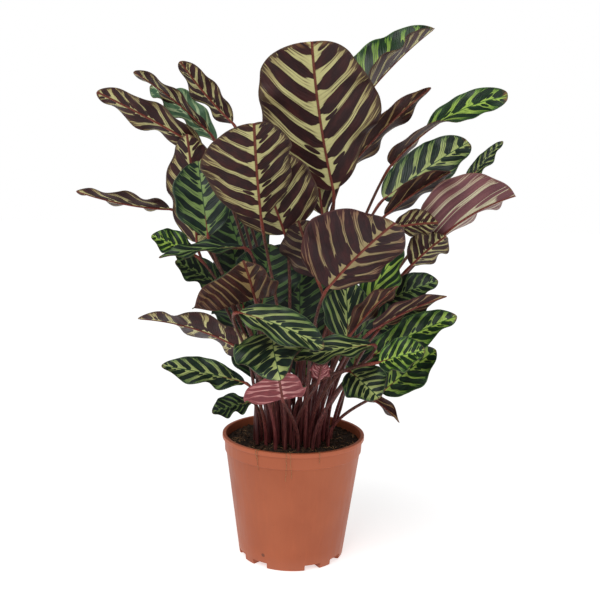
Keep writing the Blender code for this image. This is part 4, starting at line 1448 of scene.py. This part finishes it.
def make_floor(settings):
    bm = bmesh.new()
    bmesh.ops.create_circle(bm, cap_ends=True, segments=96, radius=settings.floor_radius)
    floor = bpy.data.objects.new("pale_floor", mesh_from(bm, "pale_floor"))
    bpy.context.scene.collection.objects.link(floor)
    paint = Paint("pale_floor", 0.9, Specular_IOR_Level=0.1, Emission_Strength=1.0)
    x, y, _ = paint.place()
    away = (x * x + y * y).ramp(0.008, 0.12)
    glow = (settings.floor_glow,) * 3
    paint.set("Base Color", paint.blend(away, tuple(settings.floor_colour), (0.1, 0.1, 0.1)))
    paint.set("Emission Color", paint.blend(away, glow, (1.0, 1.0, 1.0)))
    floor.data.materials.append(paint.material)
    floor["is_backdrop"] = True


def make_world(settings):
    world = bpy.data.worlds.new("studio")
    world.use_nodes = True
    tree = world.node_tree
    back = tree.nodes["Background"]
    back.inputs["Color"].default_value = (1.0, 1.0, 1.0, 1.0)
    seen = tree.nodes.new("ShaderNodeLightPath")
    strength = tree.nodes.new("ShaderNodeMapRange")
    strength.inputs["To Min"].default_value = settings.sky_strength
    strength.inputs["To Max"].default_value = 1.0
    tree.links.new(seen.outputs["Is Camera Ray"], strength.inputs["Value"])
    tree.links.new(strength.outputs["Result"], back.inputs["Strength"])
    bpy.context.scene.world = world


def make_camera():
    data = bpy.data.cameras.new("photo_camera")
    data.lens = EYE_LENS
    data.sensor_width = 36.0
    data.clip_start = 0.05
    data.clip_end = 50.0
    camera = bpy.data.objects.new("photo_camera", data)
    bpy.context.scene.collection.objects.link(camera)
    tilt = Matrix.Rotation(math.radians(90.0 - EYE_PITCH), 4, "X")
    roll = Matrix.Rotation(math.radians(EYE_ROLL), 4, "Z")
    camera.matrix_world = Matrix.Translation(Vector(EYE) * MM) @ tilt @ roll
    bpy.context.scene.camera = camera


class PotSettings(bpy.types.PropertyGroup):
    """The pot's finish."""

    colour: FloatVectorProperty(
        name="Colour",
        description="Plastic of the wall",
        subtype="COLOR",
        size=3,
        min=0.0,
        max=1.0,
        default=linear((168, 90, 58)),
    )
    colour_deep: FloatVectorProperty(
        name="Deep colour",
        description="Darker clouds in the wall's plastic",
        subtype="COLOR",
        size=3,
        min=0.0,
        max=1.0,
        default=linear((158, 82, 52)),
    )
    # Paler plastic of the flow marks, and the painted highlight on the rim and the band under it.
    colour_flow_and_highlight: FloatVectorProperty(
        name="Rim colour",
        description="Plastic of the rim and of the band under it",
        subtype="COLOR",
        size=3,
        min=0.0,
        max=1.0,
        default=linear((180, 98, 66)),
    )
    roughness: FloatProperty(
        name="Roughness",
        description="How dull the plastic is",
        subtype="FACTOR",
        min=0.0,
        max=1.0,
        default=0.46,
    )


class SoilSettings(bpy.types.PropertyGroup):
    """What lies on the soil."""

    chips: IntProperty(
        name="Bark chips", description="How many chips of bark", min=0, max=900, default=420
    )
    threads: IntProperty(
        name="Thin roots", description="How many thin roots on the soil", min=0, max=300, default=70
    )
    seed: IntProperty(name="Seed", description="Changes where they lie", min=0, default=11)


class LeafSettings(bpy.types.PropertyGroup):
    """What all leaves share."""

    ovals: FloatProperty(
        name="Ovals",
        description="Long ovals along each half of a leaf",
        min=3.0,
        max=14.0,
        default=6.0,
    )
    vein_lean: FloatProperty(
        name="Vein lean",
        description="How far the veins of a round leaf run towards the tip, in half widths",
        min=0.0,
        max=2.0,
        default=0.35,
    )
    slim_lean: FloatProperty(
        name="Slim lean",
        description="How much further they run for each time that it is longer than wide",
        min=0.0,
        max=1.0,
        default=0.4,
    )
    ruffle_length: FloatProperty(
        name="Ruffle length",
        description="From one small wave of the edge to the next",
        subtype="DISTANCE",
        unit="LENGTH",
        min=0.01,
        max=0.1,
        default=0.027,
    )
    ruffle_depth: FloatProperty(
        name="Ruffle depth",
        description="Height of the edge's small waves",
        subtype="DISTANCE",
        unit="LENGTH",
        min=0.0,
        max=0.005,
        default=0.0018,
    )


class StageSettings(bpy.types.PropertyGroup):
    """The floor and the light."""

    floor_radius: FloatProperty(
        name="Floor radius",
        description="Radius of the round floor",
        subtype="DISTANCE",
        unit="LENGTH",
        min=1.0,
        max=30.0,
        default=12.0,
    )
    floor_colour: FloatVectorProperty(
        name="Floor colour",
        description="Pale matt floor",
        subtype="COLOR",
        size=3,
        min=0.0,
        max=1.0,
        default=(0.85, 0.85, 0.85),
    )
    sky_strength: FloatProperty(
        name="Ambient light", description="Light from all around", min=0.0, max=4.0, default=0.3
    )
    floor_glow: FloatProperty(
        name="Floor glow",
        description="Light that the white floor passes on from studio lamps",
        min=0.0,
        max=2.0,
        default=0.6,
    )
    key_power: FloatProperty(
        name="Key light",
        description="Power of the large light in front and above",
        subtype="POWER",
        unit="POWER",
        min=0.0,
        max=400.0,
        default=34.0,
    )
    fill_power: FloatProperty(
        name="Fill light",
        description="Power of the weaker light from the other side",
        subtype="POWER",
        unit="POWER",
        min=0.0,
        max=400.0,
        default=10.0,
    )


class PlantSettings(bpy.types.PropertyGroup):
    """All settings of the potted plant."""

    pot: PointerProperty(type=PotSettings)
    soil: PointerProperty(type=SoilSettings)
    leaf: PointerProperty(type=LeafSettings)
    stage: PointerProperty(type=StageSettings)


class PEACOCK_OT_pot(bpy.types.Operator):
    """Moulds the nursery pot with its rim, its band and its notched foot"""

    bl_idname = "peacock.pot"
    bl_label = "Make the pot"

    def execute(self, context):
        make_pot(context.scene.peacock_plant.pot)
        return {"FINISHED"}


class PEACOCK_OT_soil(bpy.types.Operator):
    """Fills the pot with soil, and strews bark chips and thin roots on it"""

    bl_idname = "peacock.soil"
    bl_label = "Make the soil"

    def execute(self, context):
        settings = context.scene.peacock_plant.soil
        make_soil()
        make_bark(settings)
        make_threads(settings)
        return {"FINISHED"}


class PEACOCK_OT_leaves(bpy.types.Operator):
    """Grows every leaf with its stalk, clear of the others"""

    bl_idname = "peacock.leaves"
    bl_label = "Make the leaves"

    def execute(self, context):
        settings = context.scene.peacock_plant.leaf
        paints = leaf_paints()
        for place in placed_leaves():
            make_leaf(place, settings, paints)
        return {"FINISHED"}


class PEACOCK_OT_stage(bpy.types.Operator):
    """Sets the pale floor, the soft light and the camera"""

    bl_idname = "peacock.stage"
    bl_label = "Set the stage"

    def execute(self, context):
        settings = context.scene.peacock_plant.stage
        make_floor(settings)
        make_world(settings)
        aim = (0.0, 0.0, 0.3)
        add_light("key_light", (-0.9, -1.6, 1.9), aim, 1.6, settings.key_power)
        add_light("fill_light", (1.8, -1.2, 1.0), aim, 1.4, settings.fill_power)
        make_camera()
        context.scene.view_settings.view_transform = "Standard"
        return {"FINISHED"}


class PEACOCK_PT_panel(bpy.types.Panel):
    """Lists the plant's pieces and their settings"""

    bl_idname = "PEACOCK_PT_panel"
    bl_label = "Peacock Plant"
    bl_space_type = "VIEW_3D"
    bl_region_type = "UI"
    bl_category = "Peacock Plant"

    def draw(self, context):
        settings = context.scene.peacock_plant
        groups = (
            ("peacock.pot", settings.pot, ("colour", "colour_deep", "colour_flow_and_highlight", "roughness")),
            ("peacock.soil", settings.soil, ("chips", "threads", "seed")),
            (
                "peacock.leaves",
                settings.leaf,
                ("ovals", "vein_lean", "slim_lean", "ruffle_length", "ruffle_depth"),
            ),
            (
                "peacock.stage",
                settings.stage,
                (
                    "floor_radius",
                    "floor_colour",
                    "floor_glow",
                    "sky_strength",
                    "key_power",
                    "fill_power",
                ),
            ),
        )
        for operator, group, names in groups:
            box = self.layout.box()
            for name in names:
                box.prop(group, name)
            box.operator(operator)


CLASSES = (
    PotSettings,
    SoilSettings,
    LeafSettings,
    StageSettings,
    PlantSettings,
    PEACOCK_OT_pot,
    PEACOCK_OT_soil,
    PEACOCK_OT_leaves,
    PEACOCK_OT_stage,
    PEACOCK_PT_panel,
)


def register():
    for cls in CLASSES:
        bpy.utils.register_class(cls)
    bpy.types.Scene.peacock_plant = PointerProperty(type=PlantSettings)


def unregister():
    del bpy.types.Scene.peacock_plant
    for cls in reversed(CLASSES):
        bpy.utils.unregister_class(cls)


def corners():
    """The shown object's lowest and highest corners as plain lists."""
    bpy.context.view_layer.update()
    return [list(corner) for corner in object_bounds()]


def main():
    solids = corners()
    register()
    bpy.ops.peacock.pot()
    bpy.ops.peacock.soil()
    bpy.ops.peacock.leaves()
    bpy.ops.peacock.stage()
    {"solids": solids, "shown": corners()}


if __name__ == "__main__":
    main()
